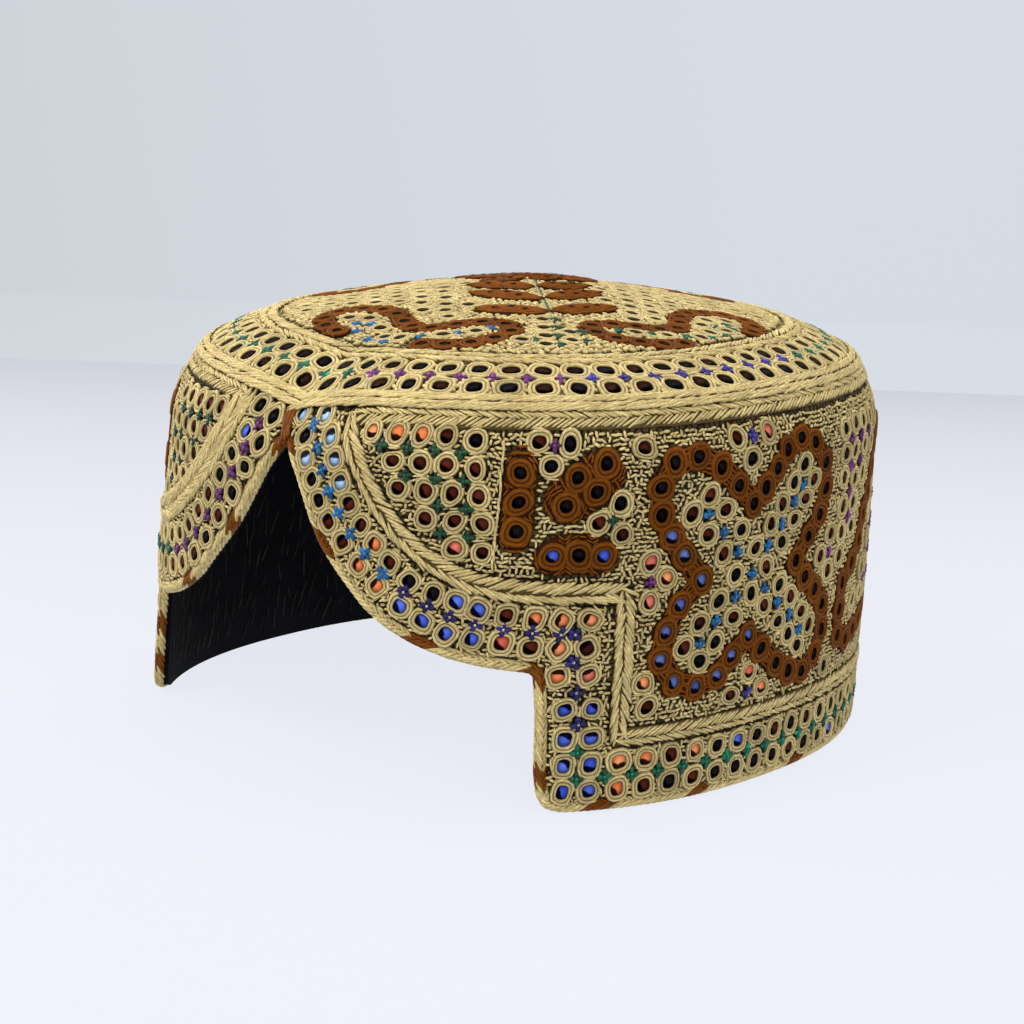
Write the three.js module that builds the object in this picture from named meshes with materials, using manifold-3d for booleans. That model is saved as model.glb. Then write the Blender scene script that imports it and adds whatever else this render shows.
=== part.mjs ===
import * as THREE from 'three';
import Module from 'manifold-3d';

// Sindhi cap. Millimetres, +Z up, the arched opening faces -Y.
// The wall is laid out flat: s runs along the cloth from the front centre, z is the height.
// The crown is laid out in plan: x and y from its own centre.
// h is the distance out from the face of the embroidery.

const plan = { halfWidth: 89.1, halfDepth: 91.2, power: 2.27, steps: 1440 };
const wall = { height: 96, frontDip: 5.6, dipSpread: 0.257, topScale: 0.971, belly: 0.005 };
const shoulder = { turnIn: 0.07, startsAt: 0.82 };
const lean = { x: 4, y: 3.4 };
const dome = { edgeRise: 6.4, edgePower: 8, peakRise: 12.4, tipRound: 0.05 };
const cloth = { outer: -1.45, inner: -2.95, edgeInset: 3.5, tipInset: 5.6 };
const liningCloth = { outer: -3.3, inner: -4.2 };
const edgeCord = { radius: 1.55, depth: -2.1, sides: 6, tipInset: 2 };
const seamCord = { radius: 0.95, out: 0.15, apart: 1.2, sides: 5 };
const braid = { width: 4.6, under: -0.75, edge: -0.15, ridge: 0.3 };
const chain = { width: 6.8, under: -0.8, top: 0 };
const mirror = { radius: 1.5, sides: 10, rise: 0.35, root: -0.6 };
const crownRing = { scale: 0.805, width: 5 };
const panelTop = 5;
const probe = 0.01;

const colours = { straw: 0xcdbb86, rust: 0x8a4a1c, black: 0x101116, ground: 0xb9a878 };

// Outer edge of the cord, from the tip of the arch to the hem, on the right half
const archEdge = [
  [0, 80.5], [3.2, 78], [6, 74.5], [9, 69.5], [12, 64.5], [15.5, 59.5], [20.5, 54.5], [25.5, 50],
  [30, 46], [36, 42.3], [43, 39.3], [52, 36.6], [61, 35], [72.9, 33.8],
];
const uprightEdge = [[74.2, 24], [75, 10], [76, 4.5], [78, 1.2], [82, 0]];
const stepCorner = archEdge.length - 1;
const hemCorner = { reach: 10, height: 3.6 };

// Middle of the braid that frames the panel, from its top corner down to the hem
const panelFront = [
  [20.5, 88], [24, 82], [28, 76], [32.5, 70.5], [38, 65], [44, 60.5], [51, 57], [58, 54.8],
  [66, 53.5], [76, 53], [84, 52.8], [93.5, 52.6], [94, 43], [94.4, 31], [94.6, 17.7],
];

// Middles of the ringed mirrors of the four-lobed motif, from its own centre
const crossMirrors = [
  [-26.6, 29], [-19.7, 29.9], [-12.8, 26.8], [-6.8, 21.9], [-1.2, 16.9], [2.8, 20.3], [6.9, 24.4],
  [10.7, 28.4], [16.7, 30.6], [22.5, 28.8], [27.8, 23.1], [28.8, 16.5], [26.5, 10.3], [21.9, 5.6],
  [17.2, 0.3], [21.9, -4.5], [26.9, -8.5], [31.3, -13.1], [32.3, -19.7], [29.7, -25.6],
  [24.2, -28.9], [17.9, -27.5], [12.3, -24.4], [5.7, -19.5], [0.7, -15.4], [-4.7, -19.7],
  [-9.1, -23.9], [-15.6, -25.7], [-22.2, -23.7], [-26.5, -17.9], [-25.6, -11.2], [-22.2, -5],
  [-16.5, 0.3], [-22.1, 6.8], [-26, 11.5], [-29.3, 16.9], [-30, 23.4],
];
const crossCentres = { right: 130.6, left: -130.6, back: 290 };
const crossHeight = 53.5;

// Middles of the mirrors of the stepped motif on its left half, from its own centre line
const fanLeft = [
  [0, 31.5], [-6.8, 31], [-13.6, 30], [-20.2, 28.7], [-26.8, 27.6], [-33, 30], [-33.4, 36.8],
  [-32.6, 43.5], [-27, 47.6], [-22, 52.4], [-19.6, 58.8], [-14.8, 63.8], [-11.6, 70], [-7, 75.4],
  [0, 78.6],
];
const fanCentres = { right: 206, left: -206 };

// Small brown motifs beside the arch: both edge points at each station, then their mirrors
const smallMotifs = {
  bar: {
    stations: [
      [[62.5, 63.4], [69.6, 63.4]], [[62, 71], [70.2, 71]], [[62, 78.6], [70.2, 78.6]],
      [[62.5, 86], [69.6, 86]],
    ],
    mirrors: [[65.9, 81], [66.1, 74.2], [66.1, 67.4]],
  },
  leaf: {
    stations: [
      [[72.8, 70], [72.8, 76]], [[76, 69.6], [76, 81]], [[80.5, 70.6], [80.5, 85.5]],
      [[85, 72.6], [85, 87.3]], [[89.6, 77], [89.6, 87.5]],
    ],
    mirrors: [[86.3, 83.1], [79.5, 80], [84.4, 76.6], [77.3, 73.4]],
  },
  boat: {
    stations: [
      [[71, 58.6], [71, 62.5]], [[76, 57.6], [76, 66.3]], [[81, 57.2], [81, 67.4]],
      [[86, 57.2], [86, 66.6]], [[90.8, 58], [90.8, 63]],
    ],
    mirrors: [[75, 61.8], [81.2, 62], [87.2, 61.6]],
  },
};

// Hooked motif of the crown, from the crown's centre, left of the axis that faces front right
const hookPath = [
  [-9, -57], [-16, -56], [-22.3, -52.5], [-24.8, -48.9], [-22.3, -43.9], [-16, -41.4], [-8.5, -42],
  [-2.2, -45.8], [4, -50.2], [10.3, -50.8], [14, -46.4], [17.1, -40.2], [22.8, -36.4], [27.8, -38.9],
  [29.6, -43.4], [28.5, -48.6], [24.8, -53], [19, -56], [13.5, -57],
];
const hookWidth = 6;

// Pairs of leaves on the crown: distance out along the axis, length, lean towards the centre
const leafRows = [
  { out: 32.5, length: 17, drop: 6 },
  { out: 22.5, length: 17, drop: 9.5 },
  { out: 12.3, length: 15.5, drop: 8 },
];
const leafShape = [[0.05, 1.2], [0.3, 2.7], [0.65, 2.9], [1, 1.2]];
const leafStart = 1.2;
const crownAxis = Math.PI / 4;

// Columns and rows of the cloth faces
const backStep = 11;
const patchSpans = 2;
const lowRows = [0, 0.14, 1];
const liningLowRows = [0, 1];
const wallRows = [0, 0.45, 0.75, 0.88, 1];
const liningWallRows = [0, 0.75, 1];
const crownRows = [0.985, 0.93, 0.83, 0.5];
const liningCrownRows = [0.93, 0.5];

// Radius of the hem outline at angle t, a rounded square between circle and box
function planRadius(t) {
  const across = Math.abs(Math.sin(t) / plan.halfWidth) ** plan.power;
  const along = Math.abs(Math.cos(t) / plan.halfDepth) ** plan.power;
  return (across + along) ** (-1 / plan.power);
}

// Length along the hem outline up to each of the even steps of angle
function arcTable() {
  const lengths = [0];
  for (let i = 1; i <= plan.steps; i += 1) {
    const before = (Math.PI * (i - 1)) / plan.steps;
    const after = (Math.PI * i) / plan.steps;
    const start = planRadius(before);
    const end = planRadius(after);
    const across = end * Math.sin(after) - start * Math.sin(before);
    const along = end * Math.cos(after) - start * Math.cos(before);
    lengths.push(lengths[i - 1] + Math.hypot(across, along));
  }
  return lengths;
}
const lengths = arcTable();
const halfRound = lengths[plan.steps];

// Angle of the point that lies s along the cloth from the front centre
function angleAt(s) {
  const turned = s > halfRound ? s - 2 * halfRound : s;
  const reach = Math.min(Math.abs(turned), halfRound);
  const above = lengths.findIndex((length) => length >= reach);
  const next = Math.max(above, 1);
  const part = (reach - lengths[next - 1]) / (lengths[next] - lengths[next - 1]);
  return (Math.sign(turned) * Math.PI * (next - 1 + part)) / plan.steps;
}

// Height of the seam at angle t, lower where the cap folds at the front
function seamHeight(t) {
  return wall.height - wall.frontDip * Math.exp(-Math.abs(t) / wall.dipSpread);
}

// How far the outline has drawn in at share u of the height
function wallScale(u) {
  const turn = Math.max(0, (u - shoulder.startsAt) / (1 - shoulder.startsAt));
  return 1 + (wall.topScale - 1) * u + wall.belly * 4 * u * (1 - u) - shoulder.turnIn * turn ** 2;
}

function wallFace(s, z) {
  const t = angleAt(s);
  const u = z / seamHeight(t);
  const radius = planRadius(t) * wallScale(u);
  return new THREE.Vector3(radius * Math.sin(t) + lean.x * u, -radius * Math.cos(t) + lean.y * u, z);
}

// Height of the crown at share rho of the way from its centre to the seam
function crownHeight(t, rho) {
  const edge = dome.edgeRise * (1 - rho ** dome.edgePower);
  const tip = Math.hypot(1, dome.tipRound) - Math.hypot(rho, dome.tipRound);
  const seam = (seamHeight(t) - wall.height) * rho ** 3;
  return wall.height + seam + edge + dome.peakRise * tip;
}

function crownFace(x, y) {
  const t = Math.atan2(x, -y);
  const rho = Math.hypot(x, y) / (planRadius(t) * wallScale(1));
  return new THREE.Vector3(x + lean.x, y + lean.y, crownHeight(t, rho));
}

// Point h out from a face, along the face's own normal
function outFrom(face, u, v, h) {
  const middle = face(u, v);
  const alongU = face(u + probe, v).sub(face(u - probe, v));
  const alongV = face(u, v + probe).sub(face(u, v - probe));
  return middle.addScaledVector(alongU.cross(alongV).normalize(), h);
}
const onWall = (s, z, h) => outFrom(wallFace, s, z, h);
const onCrown = (x, y, h) => outFrom(crownFace, x, y, h);

// Plan point of the crown at angle t and share rho
function crownSpot(t, rho) {
  const radius = planRadius(t) * wallScale(1) * rho;
  return [radius * Math.sin(t), -radius * Math.cos(t)];
}

// Point of the seam, pushed out along the mean of the wall's and the crown's normals
function onSeam(s, h) {
  const t = angleAt(s);
  const z = seamHeight(t);
  const spot = crownSpot(t, 1);
  const seam = wallFace(s, z);
  const fromWall = onWall(s, z, 1).sub(seam);
  const fromCrown = onCrown(spot[0], spot[1], 1).sub(crownFace(spot[0], spot[1]));
  return seam.addScaledVector(fromWall.add(fromCrown).normalize(), h);
}

// Outline moved sideways by a distance, to the left of its direction
function inset(path, distance) {
  return path.map((point, i) => {
    const before = path[Math.max(i - 1, 0)];
    const after = path[Math.min(i + 1, path.length - 1)];
    const start = new THREE.Vector2(point[0] - before[0], point[1] - before[1]);
    const end = new THREE.Vector2(after[0] - point[0], after[1] - point[1]);
    if (i === 0) start.copy(end);
    if (i === path.length - 1) end.copy(start);
    start.normalize();
    end.normalize();
    const mean = start.clone().add(end).normalize();
    const reach = distance / Math.max(mean.dot(end), 0.5);
    return [point[0] - mean.y * reach, point[1] + mean.x * reach];
  });
}

// Closed solid from rings of points: the first and last ring meet, or are capped flat
function solidFromRings(rings, closed) {
  const count = rings[0].length;
  const corners = rings.flat().flatMap((point) => [point.x, point.y, point.z]);
  const faces = [];
  const spans = closed ? rings.length : rings.length - 1;
  for (let i = 0; i < spans; i += 1) {
    const next = (i + 1) % rings.length;
    for (let k = 0; k < count; k += 1) {
      const side = (k + 1) % count;
      const quad = [i * count + k, i * count + side, next * count + side, next * count + k];
      faces.push(quad[0], quad[1], quad[2], quad[0], quad[2], quad[3]);
    }
  }
  const last = (rings.length - 1) * count;
  for (let k = 1; k < count - 1 && !closed; k += 1) {
    faces.push(0, k + 1, k, last, last + k, last + k + 1);
  }
  const geometry = new THREE.BufferGeometry();
  geometry.setAttribute('position', new THREE.Float32BufferAttribute(corners, 3));
  geometry.setIndex(faces);
  return facingOut(geometry);
}

// Turns every face over if the solid was built inside out
function facingOut(geometry) {
  const spot = geometry.getAttribute('position');
  const order = geometry.getIndex();
  const corner = (k) => new THREE.Vector3().fromBufferAttribute(spot, order.getX(k));
  let volume = 0;
  for (let k = 0; k < order.count; k += 3) {
    volume += corner(k).dot(corner(k + 1).cross(corner(k + 2)));
  }
  if (volume < 0) geometry.setIndex(Array.from(order.array).reverse());
  geometry.computeVertexNormals();
  return geometry;
}

// Strip that lies on a face: each station holds its two edge points
function strip(stations, place, section, closed) {
  const rings = stations.map(([low, high]) => section.map(([share, h]) => {
    const u = low[0] + (high[0] - low[0]) * share;
    const v = low[1] + (high[1] - low[1]) * share;
    return place(u, v, h);
  }));
  return solidFromRings(rings, closed);
}
const flatSection = [[0, chain.under], [1, chain.under], [1, chain.top], [0, chain.top]];
const ridgeSection = [[0, braid.under], [1, braid.under], [1, braid.edge], [0.5, braid.ridge],
  [0, braid.edge]];
const ringSection = [[0, braid.under], [1, braid.under], [1, braid.edge], [0, braid.edge]];

// Section of a wide patch, with points between its edges so that it follows the wall
function patchSection() {
  const shares = Array.from({ length: patchSpans + 1 }, (_, k) => k / patchSpans);
  const under = shares.map((share) => [share, chain.under]);
  const top = shares.map((share) => [share, chain.top]).reverse();
  return [...under, ...top];
}

// Edge points of a band of even width along a path, mitred at its corners
function bandStations(path, width, closed) {
  const wrapped = closed ? [path[path.length - 1], ...path, path[0]] : path;
  const left = inset(wrapped, width / 2);
  const right = inset(wrapped, -width / 2);
  const pairs = left.map((point, i) => [right[i], point]);
  return closed ? pairs.slice(1, -1) : pairs;
}

// Round cord whose middle follows places on the cap, held upright to the surface
function cordAlong(places, radius, sides) {
  const count = places.length;
  const rings = places.map(({ spot, out }, i) => {
    const before = places[(i - 1 + count) % count].spot;
    const after = places[(i + 1) % count].spot;
    const ahead = after.clone().sub(before).normalize();
    const side = out.clone().cross(ahead).normalize();
    const up = ahead.clone().cross(side).normalize();
    return Array.from({ length: sides }, (_, k) => {
      const turn = (2 * Math.PI * k) / sides;
      return spot.clone()
        .addScaledVector(side, radius * Math.sin(turn))
        .addScaledVector(up, radius * Math.cos(turn));
    });
  });
  return solidFromRings(rings, true);
}

// Stations along the hem from the upright edge to the back centre
function hemRun(from, z) {
  const spans = Math.round((halfRound - from) / backStep);
  return Array.from({ length: spans + 1 }, (_, i) => [from + ((halfRound - from) * i) / spans, z]);
}

// Left half of a path that is the same on both sides, without its two end points
const mirrored = (path) => path.slice(1, -1).reverse().map(([s, z]) => [-s, z]);

// Columns of the cloth: where each one starts and ends, and whether it reaches the hem
function clothColumns() {
  const arch = inset(archEdge.slice(0, stepCorner), cloth.edgeInset);
  arch[0] = [0, archEdge[0][1] + cloth.tipInset];
  const front = arch.map(([s, z]) => ({ s, low: z, hem: false }));
  const step = archEdge[stepCorner];
  const corner = { s: step[0] + cloth.edgeInset, low: step[1] + cloth.edgeInset, hem: true };
  const spans = Math.round((halfRound - corner.s) / backStep);
  const back = Array.from({ length: spans }, (_, i) => ({
    s: corner.s + ((halfRound - corner.s) * (i + 1)) / spans, low: corner.low, hem: true,
  }));
  const half = [...front, corner, ...back];
  const other = half.slice(1, -1).reverse().map((column) => ({ ...column, s: -column.s }));
  return [...half, ...other];
}
const columns = clothColumns();

// Thick cloth over a grid of columns and rows, left out where there is no cell
function shell(grid, hasCell, outer, inner, pole) {
  const across = grid(0, null, outer).length;
  const rows = columns.map((_, i) => [grid(i, null, outer), grid(i, null, inner)]);
  const points = [];
  const names = new Map();
  const faces = [];
  const index = (i, j, side) => {
    const key = `${i} ${j} ${side}`;
    if (!names.has(key)) {
      names.set(key, points.length);
      points.push(rows[i][side][j]);
    }
    return names.get(key);
  };
  const quad = (a, b, c, d) => faces.push(a, b, c, a, c, d);
  const count = columns.length;
  const cell = (i, j) => j >= 0 && j < across - 1 && hasCell((i + count) % count, j);
  for (let i = 0; i < count; i += 1) {
    const next = (i + 1) % count;
    for (let j = 0; j < across - 1; j += 1) {
      if (!cell(i, j)) continue;
      quad(index(i, j, 0), index(next, j, 0), index(next, j + 1, 0), index(i, j + 1, 0));
      quad(index(i, j, 1), index(i, j + 1, 1), index(next, j + 1, 1), index(next, j, 1));
      if (!cell(i, j - 1)) quad(index(i, j, 1), index(next, j, 1), index(next, j, 0), index(i, j, 0));
      if (!cell(i, j + 1) && !(pole && j === across - 2)) {
        quad(index(i, j + 1, 0), index(next, j + 1, 0), index(next, j + 1, 1), index(i, j + 1, 1));
      }
      if (!cell(i - 1, j)) quad(index(i, j, 1), index(i, j, 0), index(i, j + 1, 0), index(i, j + 1, 1));
      if (!cell(i + 1, j)) {
        quad(index(next, j, 0), index(next, j, 1), index(next, j + 1, 1), index(next, j + 1, 0));
      }
    }
  }
  if (pole) {
    const top = points.push(onCrown(0, 0, outer)) - 1;
    const under = points.push(onCrown(0, 0, inner)) - 1;
    for (let i = 0; i < count; i += 1) {
      const next = (i + 1) % count;
      faces.push(index(i, across - 1, 0), index(next, across - 1, 0), top);
      faces.push(index(next, across - 1, 1), index(i, across - 1, 1), under);
    }
  }
  const geometry = new THREE.BufferGeometry();
  geometry.setAttribute('position', new THREE.Float32BufferAttribute(
    points.flatMap((point) => [point.x, point.y, point.z]), 3));
  geometry.setIndex(faces);
  return facingOut(geometry);
}

// Points of one column of the wall, from the hem or the arch up to the seam
function wallColumn(i, h, low, high) {
  const { s, low: start, hem } = columns[i];
  const top = seamHeight(angleAt(s));
  const floor = cloth.edgeInset;
  const below = low.slice(0, -1).map((share) => {
    const z = floor + (start - floor) * share;
    return onWall(hem ? edgeAt(s, z) : s, z, h);
  });
  const above = high.slice(0, -1).map((share) => onWall(s, start + (top - start) * share, h));
  return [...below, ...above, onSeam(s, h)];
}

// The columns at the upright edges follow its slant, all others run straight up
function edgeAt(s, z) {
  const step = archEdge[stepCorner];
  if (Math.abs(s) > step[0] + cloth.edgeInset + 1) return s;
  const slant = (uprightEdge[1][0] - step[0]) * (1 - z / step[1]);
  const rounded = hemCorner.reach * Math.exp(-z / hemCorner.height);
  return s + Math.sign(s) * (slant + rounded);
}

function crownColumn(i, h, rings) {
  const t = angleAt(columns[i].s);
  return rings.map((rho) => onCrown(...crownSpot(t, rho), h));
}

// Below the step there is cloth only where both columns of a cell reach the hem
function wallCell(lowCount) {
  return (i, j) => {
    const next = columns[(i + 1) % columns.length];
    return j >= lowCount || (columns[i].hem && next.hem);
  };
}

function sideBand() {
  const grid = (i, _, h) => wallColumn(i, h, lowRows, wallRows);
  return shell(grid, wallCell(lowRows.length - 1), cloth.outer, cloth.inner, false);
}

function crownCloth() {
  const grid = (i, _, h) => crownColumn(i, h, crownRows);
  return shell(grid, () => true, cloth.outer, cloth.inner, true);
}

function liningShell() {
  const grid = (i, _, h) => [
    ...wallColumn(i, h, liningLowRows, liningWallRows), ...crownColumn(i, h, liningCrownRows)];
  return shell(grid, wallCell(liningLowRows.length - 1), liningCloth.outer, liningCloth.inner, true);
}

// Cord that binds the arch, the steps, the upright edges and the hem, level along the hem
function edgeCordSolid() {
  const half = [...archEdge, ...uprightEdge, ...hemRun(uprightEdge[4][0], 0).slice(1)];
  const middle = inset(half, edgeCord.radius);
  middle[0] = [0, archEdge[0][1] + edgeCord.tipInset];
  middle[middle.length - 1][0] = halfRound;
  const loop = [...middle, ...mirrored(middle)];
  const places = loop.map(([s, z]) => {
    const spot = onWall(s, z, edgeCord.depth);
    const out = onWall(s, z, edgeCord.depth + 1).sub(spot);
    if (z <= edgeCord.radius) {
      spot.setZ(edgeCord.radius);
      out.setZ(0);
    }
    return { spot, out };
  });
  return cordAlong(places, edgeCord.radius / Math.cos(Math.PI / edgeCord.sides), edgeCord.sides);
}

// One strand of the seam cord, on the wall side or on the crown side of the fold
function seamStrand(onCrownSide) {
  const places = columns.map(({ s }) => {
    const t = angleAt(s);
    const z = seamHeight(t) - seamCord.apart;
    const rho = 1 - seamCord.apart / (planRadius(t) * wallScale(1));
    const lift = (h) => (onCrownSide ? onCrown(...crownSpot(t, rho), h) : onWall(s, z, h));
    const spot = lift(seamCord.out);
    return { spot, out: lift(seamCord.out + 1).sub(spot) };
  });
  return cordAlong(places, seamCord.radius, seamCord.sides);
}

function panelBraid() {
  const topRun = hemRun(panelFront[0][0], 0)
    .map(([s]) => [s, seamHeight(angleAt(s)) - panelTop]).reverse();
  const low = hemRun(panelFront[panelFront.length - 1][0], panelFront[panelFront.length - 1][1]);
  const half = [...topRun.slice(0, -1), ...panelFront, ...low.slice(1)];
  const path = [...half, ...mirrored(half).map(([s, z]) => [2 * halfRound + s, z])];
  return strip(bandStations(path, braid.width, true), onWall, ridgeSection, true);
}

function crownBraid() {
  const path = columns.map(({ s }) => crownSpot(angleAt(s), crownRing.scale));
  return strip(bandStations(path, crownRing.width, true), onCrown, ringSection, true);
}

const wasm = await Module();
wasm.setup();

function toManifold(geometry) {
  const vertProperties = new Float32Array(geometry.getAttribute('position').array);
  const triVerts = new Uint32Array(geometry.getIndex().array);
  return new wasm.Manifold(new wasm.Mesh({ numProp: 3, vertProperties, triVerts }));
}

function fromManifold(solid) {
  const { numProp, vertProperties, triVerts } = solid.getMesh();
  const corners = [];
  for (let i = 0; i < vertProperties.length; i += numProp) {
    corners.push(vertProperties[i], vertProperties[i + 1], vertProperties[i + 2]);
  }
  const geometry = new THREE.BufferGeometry();
  geometry.setAttribute('position', new THREE.Float32BufferAttribute(corners, 3));
  geometry.setIndex(Array.from(triVerts));
  geometry.computeVertexNormals();
  return geometry;
}

// Low round mirror standing on the wall
function mirrorDisc([s, z]) {
  const ring = (h) => Array.from({ length: mirror.sides }, (_, k) => {
    const turn = (2 * Math.PI * k) / mirror.sides;
    return onWall(s + mirror.radius * Math.cos(turn), z + mirror.radius * Math.sin(turn), h);
  });
  return solidFromRings([ring(mirror.root), ring(mirror.rise)], false);
}

function withMirrors(patch, mirrors) {
  const fused = mirrors.reduce((body, spot) => body.add(toManifold(mirrorDisc(spot))),
    toManifold(patch));
  return fromManifold(fused);
}

function smallMotif({ stations, mirrors }, side) {
  const edges = stations.map((pair) => pair.map(([s, z]) => [side * s, z]));
  const patch = strip(edges, onWall, patchSection(), false);
  return withMirrors(patch, mirrors.map(([s, z]) => [side * s, z]));
}

// Closed chain of ringed mirrors around a centre on the wall, turned over on the left side
function chainLoop(points, centre) {
  const side = centre < 0 ? -1 : 1;
  const path = points.map(([s, z]) => [centre + side * s, z]);
  return strip(bandStations(path, chain.width, true), onWall, flatSection, true);
}

function crossLoop(centre) {
  return chainLoop(crossMirrors.map(([s, z]) => [s, z + crossHeight]), centre);
}

function fanLoop(centre) {
  const right = fanLeft.slice(1, -1).reverse().map(([s, z]) => [-s, z]);
  return chainLoop([...fanLeft, ...right], centre);
}

// Turns a crown point from left of the motif's axis to its place, or to the far half
function crownTurn([x, y], flipped, far) {
  const spot = flipped ? [-y, -x] : [x, y];
  return far ? [-spot[0], -spot[1]] : spot;
}

function hook(flipped, far) {
  const path = hookPath.map((point) => crownTurn(point, flipped, far));
  return strip(bandStations(path, hookWidth, false), onCrown, flatSection, false);
}

function crownLeaf({ out, length, drop }, flipped, far) {
  const stations = leafShape.map(([share, half]) => {
    const aside = leafStart + length * share;
    const ahead = out - drop * share;
    return [-half, half].map((width) => {
      const along = ahead + width;
      const x = along * Math.sin(crownAxis) - aside * Math.cos(crownAxis);
      const y = -along * Math.cos(crownAxis) - aside * Math.sin(crownAxis);
      return crownTurn([x, y], flipped, far);
    });
  });
  return strip(stations, onCrown, flatSection, false);
}

const cap = new THREE.Group();
cap.name = 'sindhi_cap';

function addPart(name, geometry, colour, roughness) {
  const material = new THREE.MeshStandardMaterial({ color: colour, roughness, metalness: 0 });
  material.name = name;
  const mesh = new THREE.Mesh(geometry, material);
  mesh.name = name;
  cap.add(mesh);
}

addPart('side_band', sideBand(), colours.ground, 0.9);
addPart('crown', crownCloth(), colours.ground, 0.9);
addPart('lining', liningShell(), colours.black, 0.95);
addPart('edge_cord', edgeCordSolid(), colours.straw, 0.75);
addPart('seam_cord_lower', seamStrand(false), colours.straw, 0.75);
addPart('seam_cord_upper', seamStrand(true), colours.straw, 0.75);
addPart('panel_braid', panelBraid(), colours.straw, 0.75);
addPart('crown_braid', crownBraid(), colours.straw, 0.75);

Object.entries(crossCentres).forEach(([side, centre]) => {
  addPart(`cross_motif_${side}`, crossLoop(centre), colours.rust, 0.8);
});
Object.entries(fanCentres).forEach(([side, centre]) => {
  addPart(`fan_motif_${side}`, fanLoop(centre), colours.rust, 0.8);
});
Object.entries(smallMotifs).forEach(([shape, motif]) => {
  addPart(`${shape}_motif_right`, smallMotif(motif, 1), colours.rust, 0.8);
  addPart(`${shape}_motif_left`, smallMotif(motif, -1), colours.rust, 0.8);
});
['near', 'far'].forEach((half, far) => {
  ['left', 'right'].forEach((side, flipped) => {
    addPart(`crown_hook_${half}_${side}`, hook(flipped === 1, far === 1), colours.rust, 0.8);
    leafRows.forEach((row, i) => {
      const leaf = crownLeaf(row, flipped === 1, far === 1);
      addPart(`crown_leaf_${half}_${side}_${i + 1}`, leaf, colours.rust, 0.8);
    });
  });
});

// The origin is the middle of the cap's base
const box = new THREE.Box3().setFromObject(cap);
const middle = box.getCenter(new THREE.Vector3());
cap.children.forEach((mesh) => mesh.geometry.translate(-middle.x, -middle.y, -box.min.z));

export default cap;
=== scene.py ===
import bpy
import numpy as np
from mathutils import Matrix


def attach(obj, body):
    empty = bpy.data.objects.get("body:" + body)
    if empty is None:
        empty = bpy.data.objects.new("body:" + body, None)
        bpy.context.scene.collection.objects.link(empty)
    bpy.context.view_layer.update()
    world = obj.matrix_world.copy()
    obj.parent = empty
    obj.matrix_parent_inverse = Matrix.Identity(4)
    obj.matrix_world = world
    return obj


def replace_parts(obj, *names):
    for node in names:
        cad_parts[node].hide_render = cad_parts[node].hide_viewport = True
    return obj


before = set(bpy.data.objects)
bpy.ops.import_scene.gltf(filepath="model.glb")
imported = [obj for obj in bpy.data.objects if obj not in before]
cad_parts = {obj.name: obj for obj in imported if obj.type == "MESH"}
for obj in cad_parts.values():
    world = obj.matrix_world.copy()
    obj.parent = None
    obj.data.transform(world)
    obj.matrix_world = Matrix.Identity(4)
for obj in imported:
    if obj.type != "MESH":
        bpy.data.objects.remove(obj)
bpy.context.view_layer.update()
print("frame loaded:", len(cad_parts), "nodes")

# All sizes are in millimetres and become metres when a mesh is made.
# The wall is laid out flat: s along the cloth from the front centre, z up, h out from the face.
# The crown is laid out in plan: x and y from its own centre.
cap = {
    "halfWidth": 89.1, "halfDepth": 91.2, "power": 2.27, "height": 96.0,
    "frontDip": 5.6, "dipSpread": 0.257, "topScale": 0.971, "belly": 0.005,
    "turnIn": 0.07, "turnFrom": 0.82, "leanX": 4.0, "leanY": 3.4,
    "edgeRise": 6.4, "edgePower": 8.0, "peakRise": 12.4, "tipRound": 0.05,
    "originX": 0.908, "originY": 2.799,
}
pathStep = 0.25
rng = np.random.default_rng(11)


# random normal draws of one size
def jitter(size, *shape):
    return size * rng.standard_normal(shape)


def anySize(count, along, across):  # random length and width of each copy, between two limits
    return np.stack([rng.uniform(*along, count), rng.uniform(*across, count)], 1)


# radius of the hem outline at angle t: (|sin t / a|^n + |cos t / b|^n)^(-1/n)
def planRadius(t):
    across = np.abs(np.sin(t) / cap["halfWidth"]) ** cap["power"]
    along = np.abs(np.cos(t) / cap["halfDepth"]) ** cap["power"]
    return (across + along) ** (-1 / cap["power"])


arcAngles = np.linspace(0, np.pi, 4000)
arcX, arcY = planRadius(arcAngles) * np.sin(arcAngles), planRadius(arcAngles) * np.cos(arcAngles)
arcLengths = np.concatenate([[0], np.cumsum(np.hypot(np.diff(arcX), np.diff(arcY)))])
halfRound = arcLengths[-1]
lap = 2 * halfRound


# angle of the point s along the cloth, looked up in the table of lengths
def angleAt(s):
    turned = (s + halfRound) % lap - halfRound
    return np.sign(turned) * np.interp(np.abs(turned), arcLengths, arcAngles)


# height of the seam: H - dip * exp(-|t| / spread)
def seamHeight(t):
    return cap["height"] - cap["frontDip"] * np.exp(-np.abs(t) / cap["dipSpread"])


# share of the hem radius left at share u of the height: taper, slight belly, turned-in shoulder
def wallScale(u):
    turn = np.clip((u - cap["turnFrom"]) / (1 - cap["turnFrom"]), 0, None)
    return 1 + (cap["topScale"] - 1) * u + cap["belly"] * 4 * u * (1 - u) - cap["turnIn"] * turn**2


# face of the wall at (s, z): hem outline scaled by wallScale, leaning with height
def wallFace(s, z):
    t = angleAt(s)
    u = z / seamHeight(t)
    radius = planRadius(t) * wallScale(u)
    return np.stack([radius * np.sin(t) + cap["leanX"] * u,
                     -radius * np.cos(t) + cap["leanY"] * u, z + 0 * s], -1)


# radius of the seam at angle t, in plan
def seamRadius(t):
    return planRadius(t) * wallScale(1.0)


# share of the way out to the seam: |(x, y)| / seam radius
def crownShare(x, y):
    return np.hypot(x, y) / seamRadius(np.arctan2(x, -y))


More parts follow.
